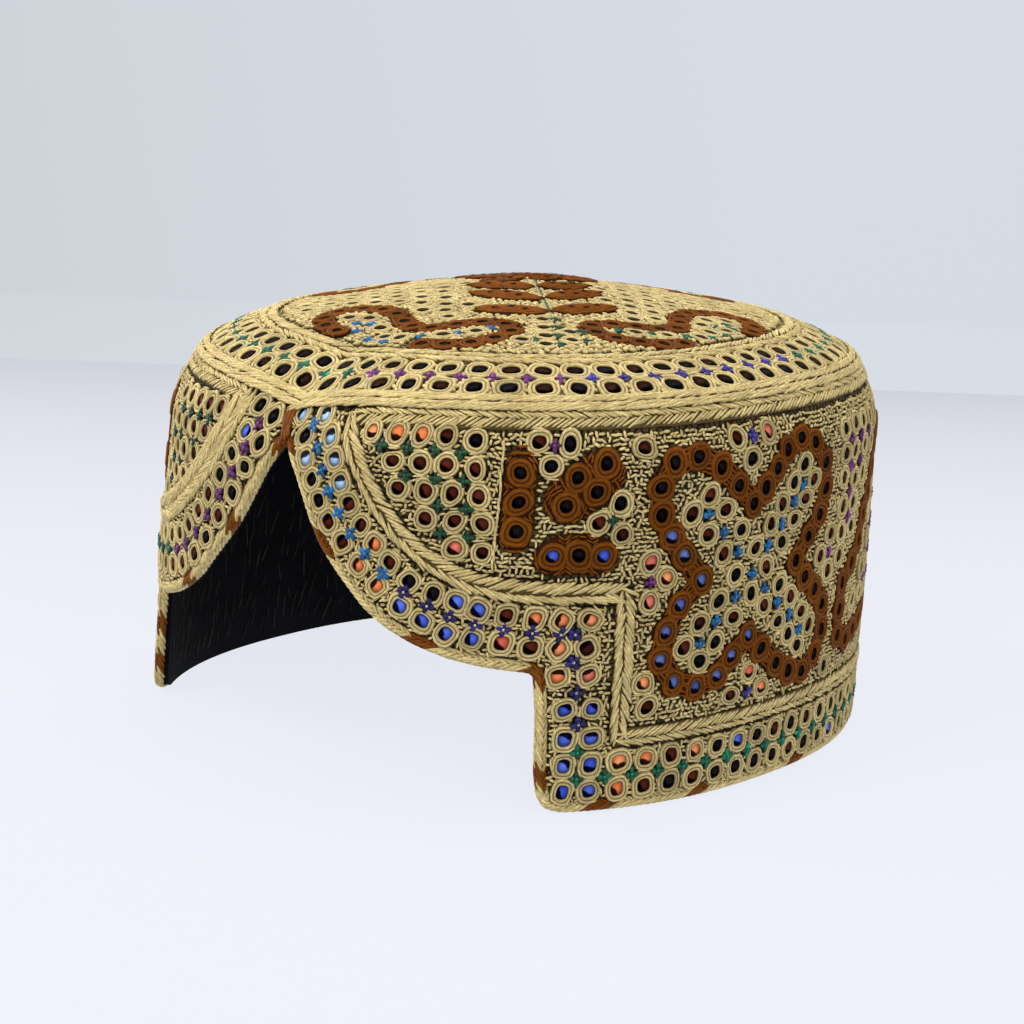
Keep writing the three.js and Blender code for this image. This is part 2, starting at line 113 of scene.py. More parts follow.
# face of the crown at (x, y): seam height, plus e (1 - rho^p), plus a cone with a small round tip
def crownFace(x, y):
    t, rho = np.arctan2(x, -y), crownShare(x, y)
    tip = np.hypot(1, cap["tipRound"]) - np.hypot(rho, cap["tipRound"])
    seam = (seamHeight(t) - cap["height"]) * rho**3
    z = cap["height"] + seam + cap["edgeRise"] * (1 - rho ** cap["edgePower"]) + cap["peakRise"] * tip
    return np.stack([x + cap["leanX"], y + cap["leanY"], z], -1)


# point h out from a face along its own normal, the cross product of its two slopes
def outFrom(face, u, v, h):
    step = 0.02
    alongU = face(u + step, v) - face(u - step, v)
    alongV = face(u, v + step) - face(u, v - step)
    normal = np.cross(alongU, alongV)
    normal /= np.linalg.norm(normal, axis=-1, keepdims=True)
    return face(u, v) + normal * np.asarray(h)[..., None]


# chart point and height as a place on the wall
def onWall(u, v, h):
    return outFrom(wallFace, u, v, h)


# plan point and height as a place on the crown
def onCrown(u, v, h):
    return outFrom(crownFace, u, v, h)


# running mean of a lapping row of points, the far end shifted by one lap
def evened(points, shift, reach):
    if reach < 1:
        return points
    padded = np.concatenate([points[-reach - 1:-1] - shift, points, points[1:reach + 1] + shift])
    sums = np.cumsum(np.concatenate([np.zeros((1, 2)), padded]), 0)
    width = 2 * reach + 1
    return (sums[width:] - sums[:-width]) / width


# path: even steps along a polyline, rounded by a running mean; its normals are the slope turned left
def makePath(points, window, looped=True):
    points = np.array(points, float)
    lengths = np.concatenate([[0], np.cumsum(np.hypot(*np.diff(points, axis=0).T))])
    count = int(lengths[-1] / pathStep)
    even = np.linspace(0, lengths[-1], count + 1)
    dense = np.stack([np.interp(even, lengths, points[:, k]) for k in (0, 1)], 1)
    shift = points[-1] - points[0] if looped else np.zeros(2)
    reach = int(window / (2 * pathStep))
    if looped:
        dense = evened(dense, shift, reach)
    else:
        first = dense[0] + (dense[0] - dense[1]) * np.arange(reach + 1, 1, -1)[:, None]
        last = dense[-1] + (dense[-1] - dense[-2]) * np.arange(1, reach + 1)[:, None]
        dense = evened(np.concatenate([first, dense, last]), shift, reach)[reach:-reach or None]
    slope = np.gradient(dense, axis=0)
    if looped:
        slope[0] = slope[-1] = slope[1] + slope[-2]
    slope /= np.linalg.norm(slope, axis=1, keepdims=True)
    normals = np.stack([-slope[:, 1], slope[:, 0]], 1)
    lengths = np.concatenate([[0], np.cumsum(np.hypot(*np.diff(dense, axis=0).T))])
    return {"points": dense, "normals": normals, "lengths": lengths, "length": lengths[-1],
            "shift": shift, "looped": looped}


# chart point at length l along a path and w to its left: p(l) + w n(l)
def alongPath(path, l, w):
    turns = np.floor(l / path["length"]) if path["looped"] else 0 * l
    inside = l - turns * path["length"]
    place = [np.interp(inside, path["lengths"], path["points"][:, k]) + turns * path["shift"][k]
             for k in (0, 1)]
    normal = [np.interp(inside, path["lengths"], path["normals"][:, k]) for k in (0, 1)]
    size = np.hypot(*normal)
    return place[0] + w * normal[0] / size, place[1] + w * normal[1] / size


# turn of a path's slope at length l
def turnAt(path, l):
    near, far = alongPath(path, l - 0.2, 0), alongPath(path, l + 0.2, 0)
    return np.arctan2(far[1] - near[1], far[0] - near[0])


def pathSpots(path, l, w=0):  # the same points as rows of two
    return np.stack(alongPath(path, l, w), 1)


# lengths of even steps of about one pitch: (k + offset) L / n
def evenSteps(path, pitch, offset=0.5):
    count = max(int(path["length"] / pitch), 2)
    return (np.arange(count) + offset) * path["length"] / count


# places on the other side of the front: s becomes lap - s
def mirrored(points):
    return [(lap - p[0], *p[1:]) for p in points]


# places given to the left of the front: s becomes lap + s
def fromLeft(points):
    return [(lap + p[0], *p[1:]) for p in points]


# even grid of points, every other row moved along by the stagger
def gridOf(first, second, stagger=0.0):
    u, v = np.meshgrid(first, second)
    u = u + stagger * (np.arange(len(u))[:, None] % 2)
    return np.stack([u.ravel(), v.ravel()], 1)


# distance of every point from each of the others: |p - q|
def gapsBetween(points, others):
    return np.hypot(points[:, None, 0] - others[None, :, 0], points[:, None, 1] - others[None, :, 1])


# points whose nearest of the others is further away than the reach
def farFrom(points, others, reach):
    gaps, others = np.full(len(points), np.inf), np.asarray(others, float)
    for start in range(0, len(others), 400):
        gaps = np.minimum(gaps, gapsBetween(points, others[start:start + 400]).min(1))
    return gaps > reach


# inside a loop: an odd number of its edges lies above the point
def insideLoop(points, loop):
    ends, odd = np.roll(loop, -1, 0), np.zeros(len(points), bool)
    x, y = points[:, :1], points[:, 1:]
    for start in range(0, len(loop), 400):
        a, b = loop[None, start:start + 400], ends[None, start:start + 400]
        spans = (a[..., 0] > x) != (b[..., 0] > x)
        run = np.where(spans, b[..., 0] - a[..., 0], 1)
        cut = a[..., 1] + (x - a[..., 0]) * (b[..., 1] - a[..., 1]) / run
        odd ^= (spans & (cut > y)).sum(1) % 2 == 1
    return odd


# quads of a grid of points, i along and j around, wound so that they face out
def gridQuads(rows, columns, loopRows, loopColumns):
    i, j = np.meshgrid(np.arange(rows - (not loopRows)), np.arange(columns - (not loopColumns)),
                       indexing="ij")
    i, j = i.ravel(), j.ravel()
    after, beside = (i + 1) % rows, (j + 1) % columns
    return np.stack([i * columns + j, i * columns + beside, after * columns + beside,
                     after * columns + j], 1)


# small stitch: rings of an ellipse along x, radius sqrt(1 - |2a - 1|^k), closed to a point at each end
# and bent by b (3a^2 - 2a^3) across; its painted shade is lighter on top and darker underneath
def stitch(length, width, height, rings, sides, bend=0.0, blunt=2.5):
    share = (np.arange(rings) + 0.6) / (rings + 0.2)
    size = np.sqrt(1 - np.abs(2 * share - 1) ** blunt)
    around = 2 * np.pi * (np.arange(sides) + 0.5) / sides
    a, r = np.append(np.repeat(share, sides), [0, 1]), np.append(np.repeat(size, sides), [0, 0])
    turn = np.append(np.tile(around, rings), [0, 0])
    x = (a - 0.5) * length
    across = bend * (3 * a**2 - 2 * a**3 - 0.5)
    k, after, last = np.arange(sides), (np.arange(sides) + 1) % sides, (rings - 1) * sides
    tris = np.concatenate([np.stack([after, k, 0 * k + rings * sides], 1),
                           np.stack([last + k, last + after, 0 * k + rings * sides + 1], 1)])
    return {"points": np.stack([x, across + 0.5 * width * r * np.cos(turn), height * r * np.sin(turn)], 1),
            "quads": gridQuads(rings, sides, False, True), "tris": tris,
            "fibre": np.stack([x, width * turn / np.pi], 1),
            # painted shade: lighter on the top of each stitch, darker on its underside
            "tone": np.clip(0.62 + 0.5 * r * np.sin(turn), 0.3, 1.05)}


noTris = np.zeros((0, 3), int)


# ring of wound thread: a closed profile with ridges, carried round (|cos a|^k + |sin a|^k)^(-1/k)
def threadRing(profile, segments, square):
    profile = np.array(profile)
    turn = 2 * np.pi * np.arange(segments) / segments
    shape = (np.abs(np.cos(turn)) ** square + np.abs(np.sin(turn)) ** square) ** (-1 / square)
    radius = shape[:, None] * profile[None, :, 0]
    points = np.stack([radius * np.cos(turn)[:, None], radius * np.sin(turn)[:, None],
                       np.broadcast_to(profile[None, :, 1], radius.shape)], -1).reshape(-1, 3)
    arc = np.concatenate([[0], np.cumsum(np.hypot(*np.diff(profile, axis=0).T))])
    fibre = np.stack([radius * turn[:, None], np.broadcast_to(arc, radius.shape)], -1).reshape(-1, 2)
    return {"points": points, "quads": gridQuads(segments, len(profile), True, True),
            # the third column of the profile is painted shade
            "tris": noTris, "fibre": fibre, "tone": np.tile(profile[:, 2], segments)}


# small glass lens: a rim circle closed to a point above and below
def glassLens(radius, rise, depth, segments):
    turn = 2 * np.pi * np.arange(segments) / segments
    k, after = np.arange(segments), (np.arange(segments) + 1) % segments
    rim = np.stack([radius * np.cos(turn), radius * np.sin(turn), 0 * turn], 1)
    points = np.concatenate([rim, [[0, 0, rise], [0, 0, -depth]]])
    tris = np.concatenate([np.stack([k, after, 0 * k + segments], 1),
                           np.stack([after, k, 0 * k + segments + 1], 1)])
    return {"points": points, "quads": np.zeros((0, 4), int), "tris": tris,
            "fibre": points[:, :2] / radius, "tone": np.ones(len(points))}


# copies of a small shape sewn on: spot + turned and scaled shape, then laid on the curved face
# a warp swells each copy by 1 + a cos(2 angle - p) + b cos(3 angle - q), and its outer strand by one
# more such sum, so that no two are alike
def sewn(shape, spots, turns, place, dye, lift=0.0, scale=1.0, ownTurns=None, warp=0.0, tilt=0.0):
    spots = np.asarray(spots, float).reshape(-1, 2)
    count = len(spots)
    turns = np.broadcast_to(turns, count)
    size = np.broadcast_to(np.asarray(scale, float).reshape(-1, 1) if np.ndim(scale) < 2 else scale,
                           (count, 2))
    local = shape["points"][None] * np.concatenate([size, size.mean(1, keepdims=True)], 1)[:, None]
    if warp:
        angle = np.arctan2(shape["points"][:, 1], shape["points"][:, 0])[None]
        swell = [warp * rng.uniform(0.2, 1, (count, 1))
                 * np.cos(k * angle - rng.uniform(0, 6.28, (count, 1))) for k in (2, 3, 1, 4)]
        outer = np.clip(np.hypot(*shape["points"].T[:2]) - 1.9, 0, 1)
        whole = 1 + swell[0] + 0.5 * swell[1] + outer * (0.8 * swell[2] + 0.5 * swell[3])
        local[..., :2] *= whole[..., None]
    if tilt:
        local[..., 2] += tilt * shape["points"][None, :, 0]
    cos, sin = np.cos(turns)[:, None], np.sin(turns)[:, None]
    u = spots[:, :1] + local[..., 0] * cos - local[..., 1] * sin
    v = spots[:, 1:] + local[..., 0] * sin + local[..., 1] * cos
    h = local[..., 2] + np.broadcast_to(lift, count)[:, None]
    points = place(u, v, h).reshape(-1, 3)
    step = len(shape["points"]) * np.arange(count)[:, None, None]
    fibre = np.broadcast_to(shape["fibre"][None], (count, *shape["fibre"].shape)).copy()
    if ownTurns is not None:
        c, s = np.cos(ownTurns)[:, None], np.sin(ownTurns)[:, None]
        x, y = fibre[..., 0], fibre[..., 1]
        fibre = np.stack([x * c - y * s, x * s + y * c], -1)
    else:
        fibre += rng.uniform(0, 40, (count, 1, 2))
    # each vertex takes the dye times the shape's painted shade; a glass chip's colour is its painted
    # reflection
    colours = np.broadcast_to(np.asarray(dye, float).reshape(-1, 3), (count, 3))
    return {"points": points, "quads": (shape["quads"][None] + step).reshape(-1, 4),
            "tris": (shape["tris"][None] + step).reshape(-1, 3), "fibre": fibre.reshape(-1, 2),
            "dye": np.repeat(colours, len(shape["points"]), 0) * np.tile(shape["tone"], count)[:, None]}


# new object in the scene
def addObject(name, data):
    made = bpy.data.objects.new(name, data)
    bpy.context.scene.collection.objects.link(made)
    return made


# many batches as one mesh object; points in millimetres become metres about the cap's own origin
def makePiece(name, batches, material):
    starts = np.cumsum([0] + [len(b["points"]) for b in batches])[:-1]
    points, fibre, dye = (np.concatenate([b[key] for b in batches]) for key in ("points", "fibre", "dye"))
    points = points - [cap["originX"], cap["originY"], 0]
    quads, tris = (np.concatenate([b[key] + s for b, s in zip(batches, starts)]) for key in ("quads", "tris"))
    corners = np.concatenate([quads.ravel(), tris.ravel()])
    mesh = bpy.data.meshes.new(name)
    mesh.vertices.add(len(points))
    mesh.vertices.foreach_set("co", (points * 0.001).ravel())
    mesh.loops.add(len(corners))
    mesh.loops.foreach_set("vertex_index", corners)
    mesh.polygons.add(len(quads) + len(tris))
    sizes = np.concatenate([np.full(len(quads), 4), np.full(len(tris), 3)])
    mesh.polygons.foreach_set("loop_start", np.concatenate([[0], np.cumsum(sizes)[:-1]]))
    mesh.polygons.foreach_set("use_smooth", np.full(len(sizes), True))
    mesh.uv_layers.new(name="fibre").data.foreach_set("uv", fibre[corners].ravel())
    # the vertex colour holds the dye with the painted shade of every stitch and the painted reflections of the
    # glass
    colours = mesh.attributes.new("dye", "FLOAT_COLOR", "POINT")
    colours.data.foreach_set("color", np.concatenate([dye, np.ones((len(dye), 1))], 1).ravel())
    mesh.update()
    mesh.validate()
    mesh.materials.append(material)
    piece = addObject(name, mesh)
    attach(piece, "root")
    print("piece", name, len(quads) * 2 + len(tris), "triangles")
    return piece


def linear(red, green, blue):  # screen colour to light
    return tuple(((c / 255 + 0.055) / 1.055) ** 2.4 if c > 10 else c / 255 / 12.92
                 for c in (red, green, blue))


# the deep straw and the deep rust are shaded copies of straw and rust: painted shade for the beds and cores
# beneath the strands
dyes = {
    "straw": linear(222, 206, 154), "strawShaded": linear(112, 95, 58), "rust": linear(128, 73, 11),
    "rustShaded": linear(60, 30, 8), "sky": linear(18, 116, 196), "navy": linear(34, 30, 118),
    "teal": linear(8, 112, 88), "green": linear(20, 80, 52), "purple": linear(116, 40, 134),
    "violet": linear(62, 52, 168), "pale": linear(226, 208, 196), "quilt": linear(78, 70, 60),
}


def shades(name, count, spread=0.12):  # the same dye, a little lighter or darker from stitch to stitch
    return np.array(dyes[name]) * (1 + spread * np.clip(rng.standard_normal((count, 1)), -2.2, 1.8))


class Wire:  # a shader socket that can be used in sums
    def __init__(self, shade, socket):
        self.shade, self.socket = shade, socket

    def maths(self, operation, first, second):
        made = self.shade.node("ShaderNodeMath", {"operation": operation}, {0: first, 1: second})
        return self.shade.wire(made, "Value")


def addSum(name, operation):  # a sum and its reflected form, such as 1 - wire
    setattr(Wire, f"__{name}__", lambda self, other: self.maths(operation, self, other))
    setattr(Wire, f"__r{name}__", lambda self, other: self.maths(operation, other, self))


for name, operation in (("add", "ADD"), ("sub", "SUBTRACT"), ("mul", "MULTIPLY"), ("pow", "POWER")):
    addSum(name, operation)


class Shade:  # one material and the few ways that its nodes are made
    def __init__(self, name):
        self.material = bpy.data.materials.new(name)
        self.material.use_nodes = True
        self.tree = self.material.node_tree
        self.tree.nodes.clear()

    def wire(self, made, name):
        return Wire(self, made.outputs[name])

    def node(self, kind, settings, values):
        made = self.tree.nodes.new(kind)
        for key, value in settings.items():
            if key == "stops":
                ramp = made.color_ramp
                while len(ramp.elements) < len(value):
                    ramp.elements.new(0.5)
                for element, (position, colour) in zip(ramp.elements, value):
                    element.position, element.color = position, (*colour, 1)
            else:
                setattr(made, key, value)
        for key, value in values.items():
            if isinstance(value, Wire):
                self.tree.links.new(value.socket, made.inputs[key])
            else:
                made.inputs[key].default_value = value
        return made

    def mix(self, share, first, second, blend="MIX"):
        made = self.node("ShaderNodeMix", {"data_type": "RGBA", "blend_type": blend}, {})
        for index, value in ((0, share), (6, first), (7, second)):
            if isinstance(value, Wire):
                self.tree.links.new(value.socket, made.inputs[index])
            elif index:
                made.inputs[index].default_value = (*value, 1)
            else:
                made.inputs[index].default_value = value
        return Wire(self, made.outputs[2])

    def noise(self, vector, scale, detail=2.0, rough=0.5):
        made = self.node("ShaderNodeTexNoise", {}, {"Vector": vector, "Scale": scale,
                                                    "Detail": detail, "Roughness": rough})
        return self.wire(made, "Fac")

    def scaled(self, vector, factors):
        made = self.node("ShaderNodeVectorMath", {"operation": "MULTIPLY"}, {0: vector, 1: factors})
        return self.wire(made, "Vector")

    def ramp(self, value, low, high, first=(0, 0, 0), second=(1, 1, 1)):
        made = self.node("ShaderNodeValToRGB", {"stops": [(low, first), (high, second)]}, {"Fac": value})
        return self.wire(made, "Color")

    # vertex colour: the dye with painted shade and painted reflections in it
    def dye(self):
        return self.wire(self.node("ShaderNodeAttribute", {"attribute_name": "dye"}, {}), "Color")

    def fibre(self):
        return self.wire(self.node("ShaderNodeUVMap", {"uv_map": "fibre"}, {}), "UV")

    def place(self):
        return self.wire(self.node("ShaderNodeTexCoord", {}, {}), "Object")

    def bump(self, height, distance, strength=1.0):
        made = self.node("ShaderNodeBump", {}, {"Height": height, "Distance": distance,
                                                "Strength": strength})
        return self.wire(made, "Normal")

    def finish(self, values):
        shader = self.node("ShaderNodeBsdfPrincipled", {}, values)
        self.node("ShaderNodeOutputMaterial", {}, {"Surface": self.wire(shader, "BSDF")})
        return self.material


threadLook = {"along": 0.8, "across": 8.0, "streaks": (0.36, 0.62), "deep": (0.42, 0.35, 0.22),
              "bright": (1.18, 1.16, 1.1), "patchScale": 240.0, "patches": (0.35, 0.75),
              "patchShare": 0.35, "wornScale": 42.0, "worn": (0.45, 0.7), "wornShare": 0.18,
              "grainScale": 3200.0, "grainShare": 0.3, "fuzz": 0.00018}


# cotton thread: fine streaks along the fibre, darker between them, uneven dye over the cap
def threadMaterial(name, roughness, gloss):
    shade = Shade(name)
    fibre = shade.scaled(shade.fibre(), (threadLook["along"], threadLook["across"], 1.0))
    streaks = shade.noise(fibre, 1.0, 3.0, 0.6)
    patches = shade.noise(shade.place(), threadLook["patchScale"], 3.0)
    worn = shade.noise(shade.place(), threadLook["wornScale"], 2.0)
    deep = shade.mix(1.0, shade.dye(), threadLook["deep"], "MULTIPLY")
    bright = shade.mix(1.0, shade.dye(), threadLook["bright"], "MULTIPLY")
    colour = shade.mix(shade.ramp(streaks, *threadLook["streaks"]), deep, bright)
    colour = shade.mix(shade.ramp(patches, *threadLook["patches"]) * threadLook["patchShare"], colour, deep)
    colour = shade.mix(shade.ramp(worn, *threadLook["worn"]) * threadLook["wornShare"], colour, deep)
    grain = shade.noise(shade.place(), threadLook["grainScale"], 1.0)
    height = streaks + grain * threadLook["grainShare"]
    return shade.finish({"Base Color": colour, "Roughness": roughness,
                         "Normal": shade.bump(height, threadLook["fuzz"], 1.0),
                         "Specular IOR Level": gloss})


strawThread = threadMaterial("strawThread", 0.6, 0.12)
rustThread = threadMaterial("rustThread", 0.62, 0.07)
silkThread = threadMaterial("silkThread", 0.4, 0.28)

# from and to: where the painted reflection begins on each chip; shade: how dark its other side is
glassLook = {"from": 0.36, "to": 0.44, "shade": (0.035, 0.03, 0.05), "ripple": 0.7, "wave": 700.0,
             "roughness": 0.3, "gloss": 0.02}


# mirror chip: dark glass with a painted reflection of a coloured light on one side of it
def glassMaterial():
    shade = Shade("mirrorGlass")
    split = shade.node("ShaderNodeSeparateXYZ", {}, {"Vector": shade.fibre()})
    wave = shade.noise(shade.place(), glassLook["wave"], 1.0)
    side = shade.wire(split, "Y") + (wave - 0.5) * glassLook["ripple"]
    paintedReflectionShare = shade.ramp(side * 0.5 + 0.5, glassLook["from"], glassLook["to"])
    dark = shade.mix(1.0, shade.dye(), glassLook["shade"], "MULTIPLY")
    colour = shade.mix(paintedReflectionShare, dark, shade.dye())
    return shade.finish({"Base Color": colour, "Roughness": glassLook["roughness"],
                         "Specular IOR Level": glassLook["gloss"]})


mirrorGlass = glassMaterial()


groundLook = {"grain": 0.78, "stretch": 0.72, "gap": 0.2, "rise": 0.0005, "fineScale": 2600.0,
              "unevenScale": 90.0, "uneven": (0.3, 0.7), "edge": (0.0, 0.3),
              "wall": (linear(16, 11, 6), linear(62, 51, 30), linear(92, 78, 48)),
              "crown": (linear(58, 46, 26), linear(160, 142, 96), linear(206, 190, 140))}


# embroidered ground: rows of small loops, each a cell of a warped net, cream inside and dark between
def groundMaterial(name, dark, loopDeep, loopBright):
    shade = Shade(name)
    fibre = shade.scaled(shade.fibre(), (groundLook["stretch"], 1.0, 1.0))
    net = shade.node("ShaderNodeTexVoronoi",
                     {"voronoi_dimensions": "2D", "feature": "DISTANCE_TO_EDGE"},
                     {"Vector": fibre, "Scale": groundLook["grain"], "Randomness": 0.75})
    edge = shade.wire(net, "Distance")
    fine = shade.noise(shade.place(), groundLook["fineScale"], 2.0)
    uneven = shade.noise(shade.place(), groundLook["unevenScale"], 3.0) + (fine - 0.5) * 0.6
    loop = shade.mix(shade.ramp(uneven, *groundLook["uneven"]), loopDeep, loopBright)
    inside = shade.ramp(edge, 0.04, groundLook["gap"])
    colour = shade.mix(inside, dark, loop)
    height = shade.ramp(edge, *groundLook["edge"]) + fine * 0.2
    return shade.finish({"Base Color": colour, "Roughness": 0.8, "Specular IOR Level": 0.15,
                         "Normal": shade.bump(height, groundLook["rise"], 1.0)})


liningLook = {"dark": linear(3, 4, 8), "light": linear(11, 12, 18), "weave": 0.9, "patches": 120.0,
              "outer": -3.1, "inner": -4.2, "inset": 0.7}


# black lining cloth: crossed fine waves with uneven dye
def liningMaterial():
    shade = Shade("liningCloth")
    fibre = shade.fibre()
    threads = [shade.wire(shade.node("ShaderNodeTexWave", {"bands_direction": side},
                                     {"Vector": fibre, "Scale": liningLook["weave"], "Distortion": 1.2,
                                      "Detail Scale": 2.0}), "Fac") for side in ("X", "Y")]
    uneven = shade.noise(shade.place(), liningLook["patches"], 4.0)
    colour = shade.mix(shade.ramp(uneven, 0.35, 0.7), liningLook["dark"], liningLook["light"])
    return shade.finish({"Base Color": colour, "Roughness": 0.9, "Specular IOR Level": 0.1,
                         "Normal": shade.bump(threads[0] * threads[1] + uneven * 0.8, 0.0003, 0.8)})


wallGround = groundMaterial("wallGround", *groundLook["wall"])
crownGround = groundMaterial("crownGround", *groundLook["crown"])
liningCloth = liningMaterial()
print("materials made")

# Outlines and rows in the flat layout of the cap, in millimetres
archEdge = [(0, 82.2), (3.2, 78.2), (6, 74.5), (9, 69.5), (12, 64.5), (15.5, 59.5), (20.5, 54.5),
            (25.5, 50), (30, 46), (36, 42.3), (43, 39.3), (52, 36.6), (61, 35), (72.9, 33.8)]
uprightEdge = [(74.2, 24), (75, 10), (76, 4.5), (78, 1.2), (82, 0)]
leftEdge = [(0, 82.2), (2.6, 77.9), (5.2, 73.9), (8.1, 68.8), (11, 63.8), (14.4, 58.7), (19.3, 53.4),
            (24.1, 48.5), (28.5, 44), (34.7, 39.8), (42.1, 36.5), (51.4, 33.9), (60.6, 32.7), (72.6, 32.3)]
lowEdge = uprightEdge + [(s, 0) for s in np.linspace(82, halfRound, 22)[1:]]
edgePath = makePath(archEdge + lowEdge + mirrored(leftEdge + lowEdge)[::-1][1:], 2.5)
panelFront = [(20.2, 90.2), (21.4, 86), (24, 82), (28, 76), (32.5, 70.5), (38, 65), (44, 60.5), (51, 57),
              (58, 54.8), (66, 53.5), (76, 53), (84, 52.8), (93.5, 52.6), (94, 43), (94.4, 31),
              (94.6, 17.7)]
panelTop = [(s, float(seamHeight(angleAt(s))) - 3.0) for s in np.linspace(halfRound, 20.2, 28)][:-1]
panelLow = [(s, 17.7) for s in np.linspace(94.6, halfRound, 20)[1:]]
leftFront = [(19.2, 90.4), (19.9, 86.4), (21.4, 82.2), (24.8, 76.4), (30.4, 70.2), (36.4, 64.8),
             (42.8, 60.3), (50.2, 56.9)]
leftPanel = panelTop + leftFront + panelFront[8:] + panelLow
panelPath = makePath(panelTop + panelFront + panelLow + mirrored(leftPanel)[::-1][1:], 3.0)
edgeSpots, panelSpots = edgePath["points"], panelPath["points"]

crossMirrors = [
    (-26.6, 29), (-19.7, 29.9), (-12.8, 26.8), (-6.8, 21.9), (-1.2, 16.9), (2.8, 20.3), (6.9, 24.4),
    (10.7, 28.4), (16.7, 30.6), (22.5, 28.8), (27.8, 23.1), (28.8, 16.5), (26.5, 10.3), (21.9, 5.6),
    (17.2, 0.3), (21.9, -4.5), (26.9, -8.5), (31.3, -13.1), (32.3, -19.7), (29.7, -25.6),
    (24.2, -28.9), (17.9, -27.5), (12.3, -24.4), (5.7, -19.5), (0.7, -15.4), (-4.7, -19.7),
    (-9.1, -23.9), (-15.6, -25.7), (-22.2, -23.7), (-26.5, -17.9), (-25.6, -11.2), (-22.2, -5),
    (-16.5, 0.3), (-22.1, 6.8), (-26, 11.5), (-29.3, 16.9), (-30, 23.4)]
fanLeft = [(0, 31.5), (-6.8, 31), (-13.6, 30), (-20.2, 28.7), (-26.8, 27.6), (-33, 30), (-33.4, 36.8),
           (-32.6, 43.5), (-27, 47.6), (-22, 52.4), (-19.6, 58.8), (-14.8, 63.8), (-11.6, 70),
           (-7, 75.4), (0, 78.6)]
fanMirrors = fanLeft + [(-s, z) for s, z in fanLeft[1:-1][::-1]]
crossCentres = [130.6, halfRound, lap - 130.6]
fanCentres = [206, lap - 206]
# cream rings inside the four lobes, then the coloured stars between them
crossFill = [
    (-16, 20.5), (-20.8, 16.5), (-10.6, 16.5), (-15.6, 11.1), (-5, 11.1), (-10.2, 5.9), (0.7, 5.9),
    (-5.6, 0.3), (5.3, 0.6), (0.3, -5.1), (11, -4.7), (5.7, -8.9), (16.3, -8.5), (11.7, -13.9),
    (21.3, -13.1), (16.5, -17.9), (25.3, -17.2), (20.9, -21.6), (17.9, 24), (14, 20), (22.5, 19.6),
    (9.8, 15.3), (19.4, 15.3), (5.7, 11.1), (15, 10.9), (10.7, 5.9), (-10.6, -5.4), (-16, -10.1),
    (-5.3, -10.1), (-20, -15.6), (-10.6, -15.4), (-15, -19.4)]
crossStars = [(-16, 16.1), (-10.8, 11.1), (-5.6, 5.9), (0, 0), (5.3, -4.5), (10.7, -8.9), (16, -12.9),
              (20.7, -17.5), (17.9, 19.3), (14.4, 15.3), (9.8, 10.6), (5, 5.9), (-5.2, -5), (-11, -10.1),
              (-15.6, -15)]
smallMotifs = {
    "bar": {"path": [(66, 62.4), (66, 87)], "width": 8.2, "blunt": 7,
            "mirrors": [(65.9, 81, "n"), (66.1, 74.2, "n"), (66.1, 67.4, "n")]},
    "leaf": {"path": [(72.6, 72), (78, 75.4), (84, 79.4), (90, 84)], "width": 12.5, "blunt": 3,
             "mirrors": [(86.3, 83.1, "n"), (79.5, 80, "n"), (84.4, 76.6, "n"), (77.3, 73.4, "n")]},
    "boat": {"path": [(70.8, 60.6), (76, 61.8), (81, 62.2), (86, 61.8), (91, 60.4)], "width": 9.6,
             "blunt": 3, "mirrors": [(75, 61.8, "b"), (81.2, 62, "n"), (87.2, 61.6, "b")]},
}
# rows along the arch: s, z and the painted reflection of each mirror
archOuter = [
    (2.5, 88.5, "l"), (7.1, 84.1, "n"), (9.4, 79.2, "l"), (12.3, 74.6, "n"), (15, 70, "n"),
    (18.5, 65.5, "m"), (23.1, 61.3, "m"), (28.1, 56.4, "o"), (33.5, 52.3, "o"), (39.8, 48.1, "b"),
    (45.6, 45.3, "b"), (51.5, 42.8, "b"), (57.8, 41.9, "b"), (64.8, 41.3, "s"), (71.6, 40.3, "m"),
    (78.3, 40.1, "o")]
archInner = [
    (11.3, 89.4, "l"), (15.6, 85, "l"), (18.5, 80.2, "l"), (21, 75, "l"), (24, 70.4, "m"),
    (27.9, 65.9, "m"), (32.1, 61.9, "o"), (36.3, 58.1, "m"), (41.6, 54.2, "n"), (47.8, 51.9, "n"),
    (53.5, 50.4, "b"), (58.8, 48.8, "b"), (65.4, 47.8, "m"), (72.1, 47.1, "o"), (78.5, 46.7, "o"),
    (85.3, 46.7, "o")]
upright = [(85, 40, "m"), (78.6, 33.5, "o"), (86, 33.5, "s"), (80.9, 25.4, "b"), (87.5, 25.4, "b"),
           (81.5, 18.3, "b"), (87.9, 18.3, "b"), (81.8, 11.8, "b"), (88.2, 11.8, "b"), (82, 5.4, "b"),
           (88.4, 5.4, "b")]
uprightStars = [(81.8, 43.4, "navy"), (82, 36.8, "navy"), (83.3, 29.5, "navy"), (84.4, 21.8, "navy"),
                (84.8, 15, "teal"), (85.1, 8.6, "teal")]
quarterField = [
    (27.5, 87.6, "o"), (34.4, 87.9, "o"), (40.9, 88.1, "o"), (47.3, 88.2, "m"), (54.6, 87.7, "n"),
    (34.6, 81.7, "m"), (41.7, 81.8, "m"), (48.3, 81.9, "m"), (55.3, 81.3, "m"), (36.8, 75.6, "m"),
    (43.8, 75.6, "m"), (50.3, 75.5, "m"), (56.6, 75.1, "m"), (44.3, 69.2, "m"), (51.4, 69.2, "m"),
    (58, 68.8, "m"), (52, 62.9, "s"), (58.6, 62.2, "m")]
quarterStars = [(31, 84.8), (38, 84.9), (44.7, 84.9), (51.4, 84.8), (38.4, 78.7), (46, 78.7),
                (52.7, 78.5), (47.3, 72.4), (54, 72.2), (55, 65.6), (48.4, 66)]
